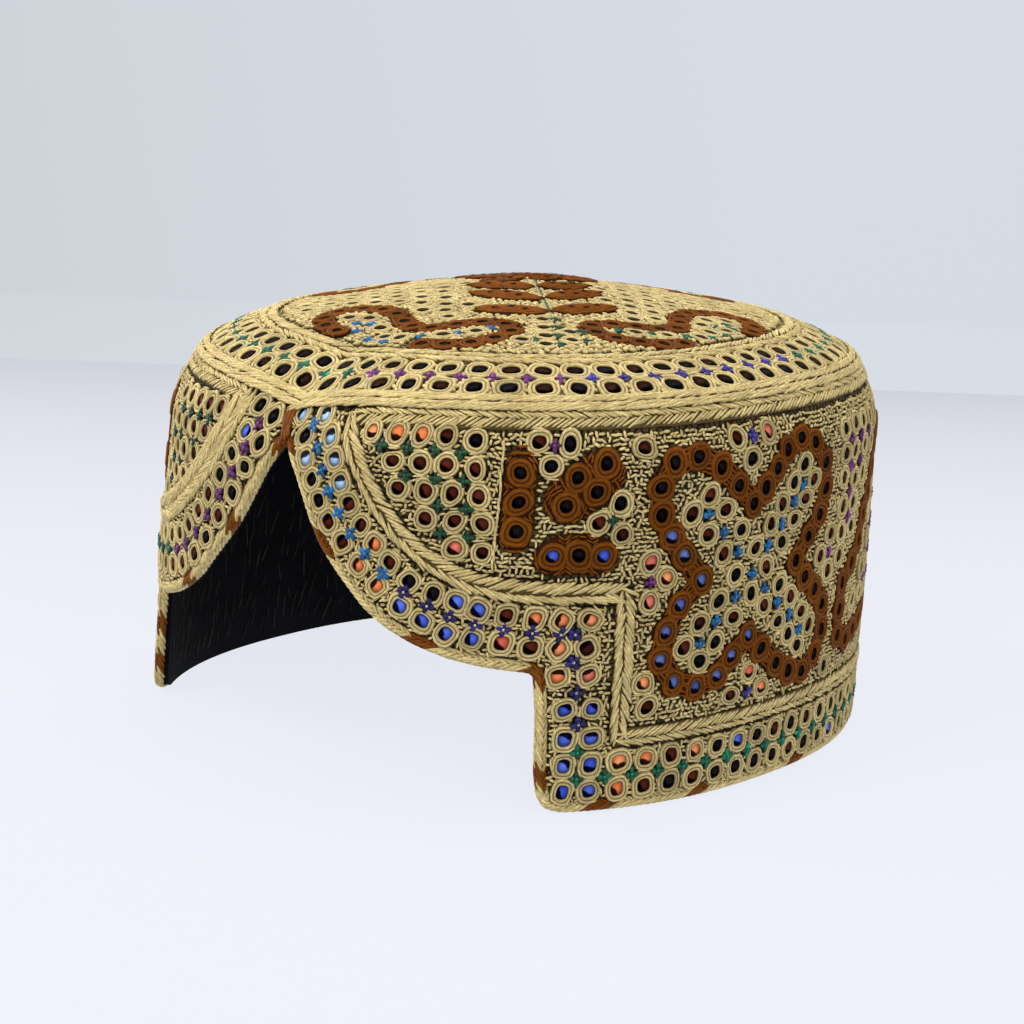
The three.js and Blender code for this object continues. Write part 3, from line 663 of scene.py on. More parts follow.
loose = [(69.8, 87.9, "m"), (77.3, 87.5, "n"), (73, 82.6, "n"), (85.4, 69.4, "m"), (90.4, 73.8, "n"),
         (91.5, 66.4, "m"), (95.9, 86.3, "m"), (99.4, 59.4, "s"), (104, 55.4, "o"), (99.8, 50, "s"),
         (100, 30.6, "o"), (101.6, 24.6, "m"), (123.1, 86.6, "m"), (134.4, 87.1, "s"), (127.8, 81.3, "n"),
         (132.8, 28.8, "s"), (126.6, 24, "m"), (138, 24, "o"), (158.8, 53.1, "m"), (163.4, 48.6, "m"),
         (163.5, 58, "m"), (166, 23.6, "n")]
looseStars = [(73.5, 87, "purple"), (88.7, 70.2, "green"), (99.6, 54.8, "purple"), (128.4, 86.6, "violet"),
              (132.3, 23.8, "violet"), (163, 53.4, "purple")]
# the left of the arch, with s to the left of the front
leftOuter = [(-6.2, 86.8, "n"), (-7.2, 80.4, "n"), (-11.2, 74, "n"), (-15.2, 67, "n"), (-20, 60.5, "m"),
             (-24.8, 54.2, "n"), (-30.1, 48.9, "m"), (-36.2, 45.4, "m"), (-42.6, 43.4, "m"),
             (-49.5, 42.4, "m"), (-56.4, 41.8, "n"), (-63.4, 41.2, "m"), (-70.4, 40.4, "m"),
             (-77.4, 40.1, "n")]
leftInner = [(-12.2, 88.6, "n"), (-13.2, 82.4, "b"), (-16.8, 76.4, "n"), (-20.9, 70.5, "n"),
             (-25.4, 64.9, "m"), (-29.6, 59.9, "m"), (-34.2, 55.4, "m"), (-39.6, 52.2, "m"),
             (-45.6, 50.4, "m"), (-51.9, 49.7, "m"), (-58.4, 48.6, "m"), (-65.2, 47.8, "m"),
             (-72, 47.1, "n"), (-78.5, 46.7, "m"), (-85.3, 46.7, "m")]
leftStars = [(-9.6, 84.6), (-11.9, 78.6), (-16, 72), (-20.4, 65.6), (-25, 59.7), (-29.6, 54.4), (-34.8, 50.6),
             (-40.8, 47.9), (-47.2, 46.6), (-54, 45.7), (-61, 44.8), (-68, 44.1), (-75, 43.6)]
leftField = {86.2: (-26.4, -32.4, -38.2, -44.2, -50.2), 79.7: (-30.6, -36.7, -42.6, -48.6, -54.7),
             73.2: (-35.2, -41.3, -47.3, -53.5), 67: (-40.6, -46.7, -52.9), 61: (-48.8, -55)}
leftFieldStars = {82.9: (-29.6, -35.2, -40.6, -46.6), 76.5: (-36, -45, -51), 70: (-44, -50), 64: (-50.5,)}
# painted reflections in the glass, dark and light: night, mahogany, blue, orange, salmon, light blue, dusk and
# brown
paintedReflections = {"n": (9, 8, 11, 25, 21, 27), "m": (44, 14, 9, 86, 36, 26), "b": (56, 80, 200, 92, 118, 226),
         "o": (226, 116, 64, 248, 158, 108), "s": (206, 94, 78, 226, 132, 114),
         "l": (120, 170, 226, 178, 208, 242), "d": (66, 80, 150, 104, 122, 192), "k": (22, 10, 8, 48, 23, 16)}

# profiles of the wound rings: distance out, height and painted shade, so that the grooves stay dark and the
# ridges light
ringProfile = [(1.58, -0.9, 0.15), (1.62, -0.2, 0.5), (1.92, 0.1, 1.08), (2.32, -0.27, 0.22),
               (2.54, 0.02, 1.0), (2.84, 0.0, 0.95), (3.1, -0.4, 0.38), (3.12, -0.9, 0.15)]
rustProfile = [(1.5, -0.9, 0.15), (1.54, -0.2, 0.45), (1.9, 0.14, 1.1), (2.34, -0.2, 0.25),
               (2.8, 0.12, 1.08), (3.3, -0.06, 0.8), (3.56, -0.34, 0.4), (3.62, -0.9, 0.15)]
thread = {"ring": threadRing(ringProfile, 15, 2.2), "square": threadRing(ringProfile, 16, 2.9),
          "rust": threadRing(rustProfile, 16, 2.3), "glass": glassLens(1.8, 0.02, 0.3, 10),
          "petal": stitch(1.8, 1.35, 0.5, 3, 5, blunt=2.0), "knot": stitch(0.9, 0.9, 0.34, 2, 5),
          "pebble": stitch(1.85, 0.8, 0.44, 2, 4), "strand": stitch(2.6, 0.66, 0.36, 2, 4),
          "plait": stitch(6.2, 1.0, 0.52, 4, 5, bend=0.35), "lay": stitch(7.5, 1.05, 0.5, 4, 5),
          "bind": stitch(5.4, 1.12, 0.4, 4, 5), "quilt": stitch(8.0, 0.55, 0.2, 2, 4, bend=0.8)}


glassBatches = []
# rows of ringed mirrors: size and shape of the ring, depth of the glass and reach of the strands beside it
rowLook = {
    "wallRow": {"dye": "straw", "size": 1.0, "shape": "square", "warp": 0.07, "sunk": 0.42, "reach": 2.85},
    "wallField": {"dye": "straw", "size": 1.0, "shape": "ring", "warp": 0.1, "sunk": 0.42, "reach": 2.85},
    "motif": {"dye": "rust", "size": 1.0, "shape": "rust", "warp": 0.08, "sunk": 0.42},
    "hook": {"dye": "rust", "size": 0.9, "shape": "rust", "warp": 0.08, "sunk": 0.24},
    "leaf": {"dye": "rust", "size": [0.5, 0.3], "shape": "rust", "warp": 0.08, "sunk": -0.74},
    "crownRow": {"dye": "straw", "size": [1.24, 1.02], "shape": "square", "warp": 0.05, "sunk": 0.34,
                 "reach": 2.95},
    "crownField": {"dye": "straw", "size": [0.96, 0.86], "shape": "square", "warp": 0.08, "sunk": 0.16,
                   "reach": 2.7},
}
ringVary = {"size": 0.055, "tilt": 0.16, "lift": 0.07, "spread": 0.08, "view": (0.15, 0.95)}
tieLook = {"turn": 0.12, "along": 1.2, "length": (1.1, 1.8), "width": (0.9, 1.15), "lift": -0.34}


# straight strands that touch a ring on both sides, at spot +- reach across the row
def tied(spots, turns, place, reach):
    count, batches = len(spots), []
    turns = turns + jitter(tieLook["turn"], count)
    for side in (-1, 1):
        along = rng.uniform(-tieLook["along"], tieLook["along"], count)
        at = spots + np.stack([along * np.cos(turns) - side * reach * np.sin(turns),
                               along * np.sin(turns) + side * reach * np.cos(turns)], 1)
        size = anySize(count, tieLook["length"], tieLook["width"])
        batches.append(sewn(thread["strand"], at, turns, place, shades("straw", count), tieLook["lift"], size))
    return batches


# ringed mirrors at spots: the thread rings, the glass chips a little below their tops and loose strands
def ringed(spots, turns, place, tone, name, tieTurn=0.0):
    count, look = len(spots), rowLook[name]
    wobble = np.array(look["size"]) * (1 + jitter(ringVary["size"], count, 2))
    tilts, lift = turns + jitter(ringVary["tilt"], count), jitter(ringVary["lift"], count)
    rings = sewn(thread[look["shape"]], spots, tilts, place, shades(look["dye"], count, ringVary["spread"]),
                 lift, wobble, warp=look["warp"])
    low, high = (np.array([linear(*paintedReflections[t][k:k + 3]) for t in tone]) for k in (0, 3))
    dye = low + (high - low) * rng.uniform(0, 1, (count, 1))
    # each chip's painted reflection is turned to about the same side in the view
    view = rng.uniform(*ringVary["view"], count) - turns
    glassBatches.append(sewn(thread["glass"], spots, tilts, place, dye, -look["sunk"], wobble, ownTurns=view))
    return [rings] + (tied(spots, turns + tieTurn, place, look["reach"]) if "reach" in look else [])


starLook = {"out": 0.85, "turn": 0.16, "deep": 0.72, "spread": 0.35, "size": (0.75, 1.3), "knotLift": 0.3}


# four petals around each spot, along and across the row: spot + out (cos a, sin a)
def stars(spots, turns, place, dye, size=1.0, lift=-0.3):
    count, batches = len(spots), []
    for quarter in range(4):
        way = turns + quarter * np.pi / 2 + jitter(starLook["turn"], count)
        at = spots + starLook["out"] * size * np.stack([np.cos(way), np.sin(way)], 1)
        colour = np.asarray(dye) * starLook["deep"] * np.exp(jitter(starLook["spread"], count, 1))
        batches.append(sewn(thread["petal"], at, way, place, np.clip(colour, 0.002, 1), lift,
                            size * rng.uniform(*starLook["size"], (count, 2))))
    knots = np.clip(np.asarray(dye) * 1.3 + 0.01, 0, 1)
    batches.append(sewn(thread["knot"], spots, turns, place, knots, lift + starLook["knotLift"], size))
    return batches


# the first two numbers of each entry of a row
def placesOf(row):
    return np.array([p[:2] for p in row])


# Rings and stars of the wall, gathered as spots with their painted reflection or dye
crossZ = 53.5
hemLook = {"from": 95.5, "columns": 28, "rows": (12, 5.4), "starZ": 8.7}
hemPitch = (halfRound - hemLook["from"]) / (hemLook["columns"] - 0.5)
hemColumns = hemLook["from"] + hemPitch * np.arange(hemLook["columns"])
hemTones = ["oo", "om", "mn", "om", "nn", "bn"] + ["".join(rng.choice(list("nnnmb"), 2)) for _ in range(22)]
hemSpots = [(s, z, t[k]) for s, t in zip(hemColumns, hemTones) for k, z in enumerate(hemLook["rows"])]
hemStars = [(s - hemPitch / 2, hemLook["starZ"], "teal") for s in hemColumns]
edgeAt = np.linspace(0, edgePath["length"], 2000)
edgeTurn, edgePoints = turnAt(edgePath, edgeAt), pathSpots(edgePath, edgeAt)


def nearTurn(spots):  # turn of the nearest stretch of the edge
    return edgeTurn[gapsBetween(spots, edgePoints).argmin(1)]


def otherSide(row):  # the same row left of the front, each painted reflection as that side shows it
    shown = {"l": "n", "o": "m", "s": "m", "b": "n", "n": "n", "m": "m"}
    return [(s, z, shown[t]) for s, z, t in mirrored(row)]


def onCross(k, points):  # places about the centre of cross k, the last one mirrored
    side = -1 if k == 2 else 1
    return [(crossCentres[k] + side * s, crossZ + z) for s, z in points]


outer, inner = placesOf(archOuter), placesOf(archInner)
archStars = [(*p, "sky" if k < 8 else "navy")
             for k, p in enumerate((outer[:-1] + outer[1:] + inner[:-1] + inner[1:]) / 4)]
rowAll = archOuter + archInner + upright + hemSpots + fromLeft(leftOuter + leftInner)
rowAll += otherSide(upright + hemSpots)
starAll = archStars + uprightStars + hemStars
starAll += [(*p, "purple" if k < 8 else "teal") for k, p in enumerate(fromLeft(leftStars))]
starAll += [(s, z, "teal") for s, z, d in mirrored(uprightStars + hemStars)]

fieldSpots = quarterField + loose + otherSide(loose)
fieldSpots += fromLeft([(s, z, "m") for z, row in leftField.items() for s in row])
fieldStars = [(s, z, "green") for s, z in quarterStars] + looseStars + mirrored(looseStars)
fieldStars += fromLeft([(s, z, "green") for z, row in leftFieldStars.items() for s in row])
for k in range(3):
    dark = rng.random(len(crossFill)) < 0.3
    fieldSpots += [(*p, "n" if d else "m") for p, d in zip(onCross(k, crossFill), dark)]
    fieldStars += [(*p, "sky") for p in onCross(k, crossStars)]
chains = [onCross(k, crossMirrors) for k in range(3)]
chains += [[(c + s, z) for s, z in fanMirrors] for c in fanCentres]
chainPaths = [makePath(chain + chain[:1], 5) for chain in chains]
chainSpots = [p for chain in chains for p in chain]
chainPoints = np.concatenate([p["points"][::4] for p in chainPaths])

# even rows of rings fill the panel beyond the first motif, where they clear everything else,
# and a star stands between each four of them
fillLook = {"from": 169.5, "stop": 165, "pitchS": 6.7, "low": 24.6, "pitchZ": 6.55, "columns": 37, "rows": 10,
            "chains": 6.3, "others": 5.9, "braid": 5.4, "jitter": 0.25, "half": [3.35, 3.27], "near": 5.6}
fillGrid = gridOf(fillLook["from"] + fillLook["pitchS"] * np.arange(fillLook["columns"]),
                  fillLook["low"] + fillLook["pitchZ"] * np.arange(fillLook["rows"]))
fill = fillGrid[fillGrid[:, 0] < lap - fillLook["stop"]]
keep = insideLoop(fill, panelSpots[::4])
for others, name in ((chainPoints, "chains"), (placesOf(fieldSpots), "others"), (panelSpots[::4], "braid")):
    keep &= farFrom(fill, others, fillLook[name])
fill = fill[keep] + jitter(fillLook["jitter"], keep.sum(), 2)
fieldSpots += [(*p, t) for p, t in zip(fill, rng.choice(list("mmn"), len(fill)))]
between = fillGrid + fillLook["half"]
among = (gapsBetween(between, fill) < fillLook["near"]).sum(1) >= 4
fieldStars += [(*p, "purple") for p in between[among]]
print("wall layout:", len(rowAll) + len(fieldSpots) + len(chainSpots), "mirrors")

wallRings, starBatches = [], []
for row, name in ((rowAll, "wallRow"), (fieldSpots, "wallField")):
    at = placesOf(row)
    turns = nearTurn(at) if name == "wallRow" else np.zeros(len(at))
    wallRings += ringed(at, turns, onWall, [p[2] for p in row], name)
for row, turned, size in ((starAll, True, 1.15), (fieldStars, False, 1.05)):
    at = placesOf(row)
    turns = nearTurn(at) if turned else np.zeros(len(at))
    starBatches += stars(at, turns, onWall, np.array([dyes[p[2]] for p in row]), size, -0.2)
    pale = np.array([p[2] == "navy" for p in row])
    if pale.any():
        starBatches.append(sewn(thread["knot"], at[pale], 0.0, onWall, dyes["pale"], 0.16))

# rust rings along the motifs
smallSpots = [p for m in smallMotifs.values() for p in m["mirrors"]]
smallSpots += [(s, z, "n") for s, z, t in mirrored(smallSpots)]
chainTones = ["d" if 103 < s < 136 and z < 66 else "n" for s, z in chainSpots]
rustSpots = placesOf(chainSpots + smallSpots)
rustBatches = ringed(rustSpots, np.zeros(len(rustSpots)), onWall,
                     chainTones + [p[2] for p in smallSpots], "motif")


ribbonLook = {"across": [-0.5, -0.47, -0.25, 0, 0.25, 0.47, 0.5, 0.5, -0.5],
              "high": [0, 0.7, 0.95, 1, 0.95, 0.7, 0, 0, 0], "under": -0.85, "thick": 0.4, "step": 1.5}


# flat ribbon along a path: a low arched section of w across and h out, closed underneath;
# a tapered one narrows by sqrt(1 - |2 l / L - 1|^taper) to both its ends
def ribbon(path, width, top, place, dye, taper=0):
    count = max(int(path["length"] / ribbonLook["step"]), 8)
    l = np.linspace(0, path["length"], count, endpoint=not path["looped"])[:, None]
    across, under = np.array(ribbonLook["across"])[None], ribbonLook["under"]
    high = np.array(ribbonLook["high"])[None] * (top - under) + under
    high[0, 7:] = under - ribbonLook["thick"]
    size = np.ones((count, 1))
    if taper:
        size = np.sqrt(np.clip(1 - np.abs(2 * l / path["length"] - 1) ** taper, 0.05, 1))
    w = across * width * size
    l, high = np.broadcast_to(l, w.shape), np.broadcast_to(high, w.shape)
    quads, tris = gridQuads(count, across.size, path["looped"], True), noTris
    if not path["looped"]:
        k, last = np.arange(1, across.size - 1), (count - 1) * across.size
        tris = np.concatenate([np.stack([0 * k, k + 1, k], 1),
                               np.stack([0 * k + last, last + k, last + k + 1], 1)])
    return {"points": place(*alongPath(path, l, -w), high).reshape(-1, 3), "quads": quads[:, ::-1],
            "tris": tris[:, ::-1], "fibre": np.stack([l, w], -1).reshape(-1, 2),
            "dye": np.broadcast_to(np.asarray(dye, float), (w.size, 3))}


# middle line of a small motif, or of its mirror image
def smallPath(motif, flip):
    return makePath(mirrored(motif["path"])[::-1] if flip else motif["path"], 2, False)


# half of the width of a motif at length l: w / 2 sqrt(1 - |2 l / L - 1|^b)
def halfAt(path, l, width, blunt):
    return 0.5 * width * np.sqrt(np.clip(1 - np.abs(2 * l / path["length"] - 1) ** blunt, 0, 1))


def motifOutline(path, width, blunt, grow):  # closed loop round a motif, a little larger than it
    l = np.linspace(0, path["length"], 40)
    half = halfAt(path, l, width, blunt) + grow
    return np.concatenate([pathSpots(path, l, half), pathSpots(path, l, -half)[::-1]])


motifLook = {"width": 5.6, "bed": -0.5, "edge": (2.5, 1.7), "fills": ((0.45, 0.8), (1.4, 0.8)), "lean": 0.1,
             "lift": -0.35, "clear": 3.2, "patchClear": 3.5, "patchLift": -0.3, "hookBed": -0.45,
             "hookTaper": 9, "hookEdge": (2.5, 1.6), "leafTop": 0.25}
# each motif lies on a ribbon of the deep rust, painted shade between its strands
for path in chainPaths:
    rustBatches.append(ribbon(path, motifLook["width"], motifLook["bed"], onWall, dyes["rustShaded"]))
smallPaths = [(smallPath(m, flip), m["width"], m["blunt"],
               placesOf(mirrored(m["mirrors"]) if flip else m["mirrors"]))
              for m in smallMotifs.values() for flip in (False, True)]
for path, width, blunt, _ in smallPaths:
    rustBatches.append(ribbon(path, width, motifLook["bed"], onWall, dyes["rustShaded"], blunt))


# strands that follow a path on both sides of it, leaning a little inwards, clear of the spots given
def satin(path, look, place, clear=None):
    offset, pitch = look
    steps, batches = evenSteps(path, pitch), []
    for side in (-1, 1):
        spots = pathSpots(path, steps, side * offset + jitter(0.15, len(steps)))
        keep = np.ones(len(steps), bool) if clear is None else farFrom(spots, clear, motifLook["clear"])
        turn = turnAt(path, steps[keep]) - side * motifLook["lean"] + jitter(0.16, keep.sum())
        batches.append(sewn(thread["strand"], spots[keep], turn, place, shades("rust", keep.sum()),
                            motifLook["lift"]))
    return batches


# strands that fill a patch, each lying round the nearest mirror
def patchFill(path, width, blunt, mirrors, place):
    l, w = gridOf(np.arange(0.6, path["length"], 1.5), np.arange(-0.5, 0.51, 0.9 / width) * width).T
    keep = np.abs(w) < halfAt(path, l, width, blunt) - 0.3
    points = pathSpots(path, l[keep], w[keep])
    gap = gapsBetween(points, mirrors)
    keep = gap.min(1) > motifLook["patchClear"]
    toward = (points - mirrors[gap.argmin(1)])[keep]
    turn = np.arctan2(toward[:, 1], toward[:, 0]) + np.pi / 2 + jitter(0.15, keep.sum())
    return sewn(thread["strand"], points[keep], turn, place, shades("rust", keep.sum()),
                motifLook["patchLift"])


for path in chainPaths:
    rustBatches += satin(path, motifLook["edge"], onWall)
    for fill in motifLook["fills"]:
        rustBatches += satin(path, fill, onWall, rustSpots)
for small in smallPaths:
    rustBatches.append(patchFill(*small, onWall))
print("wall motifs laid")

# Crown rows, hooks, leaves and field
crownLook = {"outerRow": 0.945, "innerRow": 0.868, "starRow": 0.907, "rowCount": 62, "braidAt": 0.805,
             "hookWidth": 6.6, "field": 0.71}
rowAngles = 2 * np.pi * (np.arange(crownLook["rowCount"]) + 0.5) / crownLook["rowCount"]


# places in plan: the share rho of the seam's radius out at each angle
def crownSpots(angles, rho):
    radius = seamRadius(angles) * rho
    return np.stack([radius * np.sin(angles), -radius * np.cos(angles)], -1)


# hooks left and right of the stem: centre line, cream rings and stars; both are given left of it
hookShapes = {
    False: {"dye": "sky",
            "path": [(-9.4, -59.6), (-16.4, -58), (-21.6, -54.6), (-24, -49.8), (-22.4, -45.2),
                     (-17, -42.4), (-10, -42.2), (-3.6, -44.6), (2.4, -48.6), (8.4, -50.8),
                     (12.2, -47.2), (15.4, -42.6), (19.6, -38.4), (25, -36.8), (29, -39.2), (30, -44),
                     (28.8, -49.8), (25, -54.6), (19.6, -57.8), (13.8, -58.8)],
            "cream": [(-16, -50.6), (-10.2, -49.4), (-2.8, -53), (2.6, -57), (7.8, -57),
                      (17, -51.6), (22.4, -45.8)],
            "stars": [(-10.6, -53.6), (-6.4, -52.6), (-6.6, -57.2), (-0.4, -59.4), (5.2, -60),
                      (12.6, -54.8), (19.4, -49.4), (23.8, -42)]},
    True: {"dye": "teal",
           "path": [(-15.5, -59.2), (-21.5, -56.4), (-25, -51.8), (-25.2, -47), (-22.6, -43),
                    (-16.5, -40.8), (-8.8, -42), (-3, -46.4), (2, -50.4), (7.4, -49.6), (12, -45.4),
                    (16.6, -40.6), (21.4, -38), (25, -40.4), (25.6, -45.6), (23.4, -51.4),
                    (18.8, -55.8), (12.6, -58.6), (8.5, -59.4)],
           "cream": [(-17.6, -49.6), (-12.2, -47.6), (-6.6, -50.4), (-9.6, -56), (-3.4, -55.6),
                     (2.4, -57.4), (10.6, -53.2), (16.4, -48)],
           "stars": [(-14.4, -52.4), (-12.8, -55.4), (-9.4, -52.6), (-6.2, -58.6), (-0.4, -58.8),
                     (6.2, -55.6), (13.4, -50.4), (19.4, -45.4)]},
}
# leaves: root, tip and width, those left of the stem and then those right of it
leafLook = {"blunt": 2.4, "strand": [[0.6, 0.95]], "farSize": 0.85, "chips": (0.3, 0.5, 0.72),
            "aside": (0.7, -0.8, 0.5), "dome": 0.65, "sunk": 0.42, "row": 2.3, "across": 0.78}
leafLines = {
    False: [((25, -23), (9.8, -32.6), 7.2), ((16.6, -15.8), (-1.5, -21.6), 6.8),
            ((8, -9.2), (-7.4, -15), 6.8), ((0.4, -4.4), (-8.6, -9.6), 5.4)],
    True: [((25.8, -21.2), (31.2, -4.6), 7.8), ((17.2, -13.6), (19.8, 3.2), 7.4),
           ((9, -7.4), (13.4, 5.4), 7.2), ((1.8, -2.8), (4.6, 5), 5.2)],
}


def turnedCrown(points, flip, far):  # over the axis that faces front right, and round to the far half
    points = np.asarray(points, float)
    if flip:
        points = -points[:, ::-1]
    return -points if far else points


hooks, hookSpots, hookCream, hookStars, leaves, leafSpots = [], [], [], [], [], []
for far in (False, True):
    for flip in (False, True):
        shape = hookShapes[flip]
        hooks.append(makePath(turnedCrown(shape["path"], flip, far), 5, False))
        hookSpots.append(pathSpots(hooks[-1], np.linspace(2.5, hooks[-1]["length"] - 2.5, 18)))
        hookCream.append(turnedCrown(shape["cream"], flip, far))
        hookStars.append((turnedCrown(shape["stars"], flip, far), shape["dye"]))
        for root, tip, width in leafLines[flip]:
            path = makePath(turnedCrown([root, tip], False, far), 0, False)
            leaves.append((path, width * (leafLook["farSize"] if far else 1)))
            leafSpots.append(pathSpots(path, path["length"] * np.array(leafLook["chips"]),
                                       np.array(leafLook["aside"])))
hookSpots, leafSpots = np.concatenate(hookSpots), np.concatenate(leafSpots)
rustAt = np.concatenate([p["points"][::4] for p in hooks])
leafAcross = np.concatenate([p["points"][8:-8:4] for p, width in leaves])
# the hooks lie on the deep rust as well, painted shade between their strands
for path in hooks:
    rustBatches.append(ribbon(path, crownLook["hookWidth"], motifLook["hookBed"], onCrown,
                              dyes["rustShaded"], motifLook["hookTaper"]))
    rustBatches += satin(path, motifLook["hookEdge"], onCrown)


# plump leaf: rows of long strands over a low dome, lift = dome sqrt(1 - (w / half)^2) - sunk, closing in
# at its ends
def plump(path, width, place):
    across, blunt = np.arange(-0.5, 0.51, leafLook["across"] / width) * width, leafLook["blunt"]
    l, w = np.meshgrid(np.arange(1.2, path["length"] - 0.8, leafLook["row"]), across)
    l = l + 1.1 * (np.arange(len(l))[:, None] % 2) + jitter(0.3, *l.shape)
    half = halfAt(path, l.clip(0.3, path["length"] - 0.3), width, blunt)
    keep = np.abs(w) < half - 0.2
    l, w, half = l[keep], w[keep], half[keep]
    closing = (halfAt(path, l + 0.5, width, blunt) - half) * 2 * w / half
    turn = turnAt(path, l) + np.clip(closing, -0.4, 0.4) + jitter(0.05, len(l))
    lift = leafLook["dome"] * np.sqrt(np.clip(1 - (w / half) ** 2, 0, 1)) - leafLook["sunk"]
    return sewn(thread["lay"], pathSpots(path, l, w), turn, place, shades("rust", len(l), 0.1), lift,
                leafLook["strand"])


# each leaf lies on the deep rust, painted shade between its strands
for path, width in leaves:
    rustBatches.append(ribbon(path, width, motifLook["leafTop"], onCrown, dyes["rustShaded"],
                              leafLook["blunt"]))
    rustBatches.append(plump(path, width, onCrown))
rustBatches += ringed(hookSpots, np.zeros(len(hookSpots)), onCrown, "n" * len(hookSpots), "hook")
# the leaves show chips alone, so their rings aren't kept
ringed(leafSpots, rng.uniform(0.4, 1.2, len(leafSpots)), onCrown, "n" * len(leafSpots), "leaf")

cream = np.concatenate([crownSpots(rowAngles, crownLook[row]) for row in ("outerRow", "innerRow")])
crownRings = ringed(cream, np.tile(rowAngles, 2), onCrown, rng.choice(list("nnkk"), len(cream)), "crownRow")
starAngles = rowAngles + np.pi / crownLook["rowCount"]
rowDye = np.array([dyes["purple" if 8 < a < 45 else "violet" if 45 <= a < 100 else "teal"]
                   for a in np.degrees(rowAngles)])
starBatches += stars(crownSpots(starAngles, crownLook["starRow"]), starAngles, onCrown, rowDye, 1.1)

# staggered rows of rings on the crown, over the slanting axis of the pattern
inHooks = np.concatenate(hookCream)
along, across = gridOf(6.2 * np.arange(-11, 12), 5.8 * np.arange(-11, 12), 3.1).T
crownGrid = np.stack([(along + across) * 0.7071, (across - along) * 0.7071], 1)
keep = (crownShare(*crownGrid.T) < crownLook["field"]) & farFrom(crownGrid, rustAt, 5.6)
keep &= farFrom(crownGrid, inHooks, 5.4) & farFrom(crownGrid, leafAcross, 5.8)
crownGrid = crownGrid[keep] + jitter(0.2, keep.sum(), 2)
creamField = np.concatenate([inHooks, crownGrid])
crownRings += ringed(creamField, np.zeros(len(creamField)), onCrown,
                     rng.choice(list("nnnk"), len(creamField)), "crownField", 0.3)
for spots, name in hookStars:
    starBatches += stars(spots, 0.4, onCrown, dyes[name])
aside = (crownGrid[:, 0] - crownGrid[:, 1]) * np.sqrt(0.5)
greenNear = crownGrid[(np.abs(aside) > 36) & (np.abs(crownGrid.sum(1)) < 18)]
starBatches += stars(greenNear + [2.2, 2.2], 0.8, onCrown, dyes["green"], 1.15)
stemLine = makePath([(26, -22.6), (17, -15), (0, 0), (-17, 15), (-26, 22.6)], 3, False)
stemSteps = np.arange(1, stemLine["length"], 1.6)
for aside, colour in ((-0.7, linear(200, 192, 148)), (0, linear(84, 92, 62)), (0.6, linear(190, 186, 142))):
    starBatches.append(sewn(thread["strand"], pathSpots(stemLine, stemSteps, aside),
                            turnAt(stemLine, stemSteps) + 0.2, onCrown, colour, -0.3))
mirrorCount = sum(map(len, (cream, creamField, hookSpots, leafSpots)))
print("crown layout:", mirrorCount, "mirrors")


plaitLook = {"width": 5.8, "top": 3.7, "narrow": 4.4, "wide": 6.6, "crown": 5.4, "pitch": 1.5, "slant": 0.4,
             "uneven": 0.06, "lift": -0.1, "aside": 1.3, "tilt": -0.05, "bed": 4.2, "bedTop": -0.4,
             "wideS": 60, "wideZ": 54, "narrowZ": 19, "topDrop": 5}
# rows laid over the plait left of the arch: offset, lean and lift
runLook = {"pitch": 1.6, "rows": ((-2.9, 0.3, -0.2), (0, -0.25, -0.34), (3.0, -0.3, -0.2))}


# herringbone: long shallow strands from the middle of a path to both sides, each lapping over the next
def plait(path, widthAt, place):
    l, batches = evenSteps(path, plaitLook["pitch"]), []
    count = len(l)
    for side in (-1, 1):
        shift = l + side * 0.25 * plaitLook["pitch"] + jitter(0.12, count)
        size = widthAt(*alongPath(path, shift, 0)) / plaitLook["width"]
        spots = pathSpots(path, shift, size * side * (plaitLook["aside"] + jitter(0.14, count)))
        turn = turnAt(path, shift) + side * (plaitLook["slant"] + jitter(plaitLook["uneven"], count))
        size = np.stack([0.35 + 0.65 * size, 0.8 * size + 0.2], 1) * (1 + jitter(0.08, count, 1))
        batches.append(sewn(thread["plait"], spots, turn, place, shades("straw", count, 0.1),
                            plaitLook["lift"] + jitter(0.05, count), size, tilt=plaitLook["tilt"]))
    # the bed beneath the plait takes the deep straw, painted shade between its strands
    return batches + [ribbon(path, plaitLook["bed"], plaitLook["bedTop"], place, dyes["strawShaded"])]


def panelWidth(u, v):  # narrower along the seam and the hem than round the arch, widest left of the arch
    wide = (u > lap - plaitLook["wideS"]) & (v > plaitLook["wideZ"])
    width = np.where(wide, plaitLook["wide"], plaitLook["width"])
    width = np.where(v < plaitLook["narrowZ"], plaitLook["narrow"], width)
    return np.where(v > seamHeight(angleAt(u)) - plaitLook["topDrop"], plaitLook["top"], width)


# overlapping strands laid along a path, leaning all one way
def laid(path, offset, pitch, lean, place, dye, lift, shape, size=1.0):
    l = evenSteps(path, pitch, rng.uniform(0, 1))
    count = len(l)
    spots = pathSpots(path, l, offset + jitter(0.06, count))
    turn = turnAt(path, l) + lean + jitter(0.04, count)
    return sewn(thread[shape], spots, turn, place, shades(dye, count, 0.1), lift + jitter(0.04, count), size)


braidBatches = plait(panelPath, panelWidth, onWall)
leftRun = makePath(mirrored(leftFront + [(58, 54.8)])[::-1], 2, False)
for offset, lean, lift in runLook["rows"]:
    braidBatches.append(laid(leftRun, offset, runLook["pitch"], lean, onWall, "straw", lift, "plait"))
fieldLine = makePath([(61.2, 59.5), (61.5, 75), (61.5, 89)], 2, False)
braidBatches.append(laid(fieldLine, 0, 2.2, 0.1, onWall, "straw", -0.4, "strand", [[1.6, 1.2]]))
crownRing = makePath(crownSpots(np.linspace(0, 2 * np.pi, 200), crownLook["braidAt"]), 1)
crownBraid = plait(crownRing, lambda u, v: plaitLook["crown"] + 0 * u, onCrown)


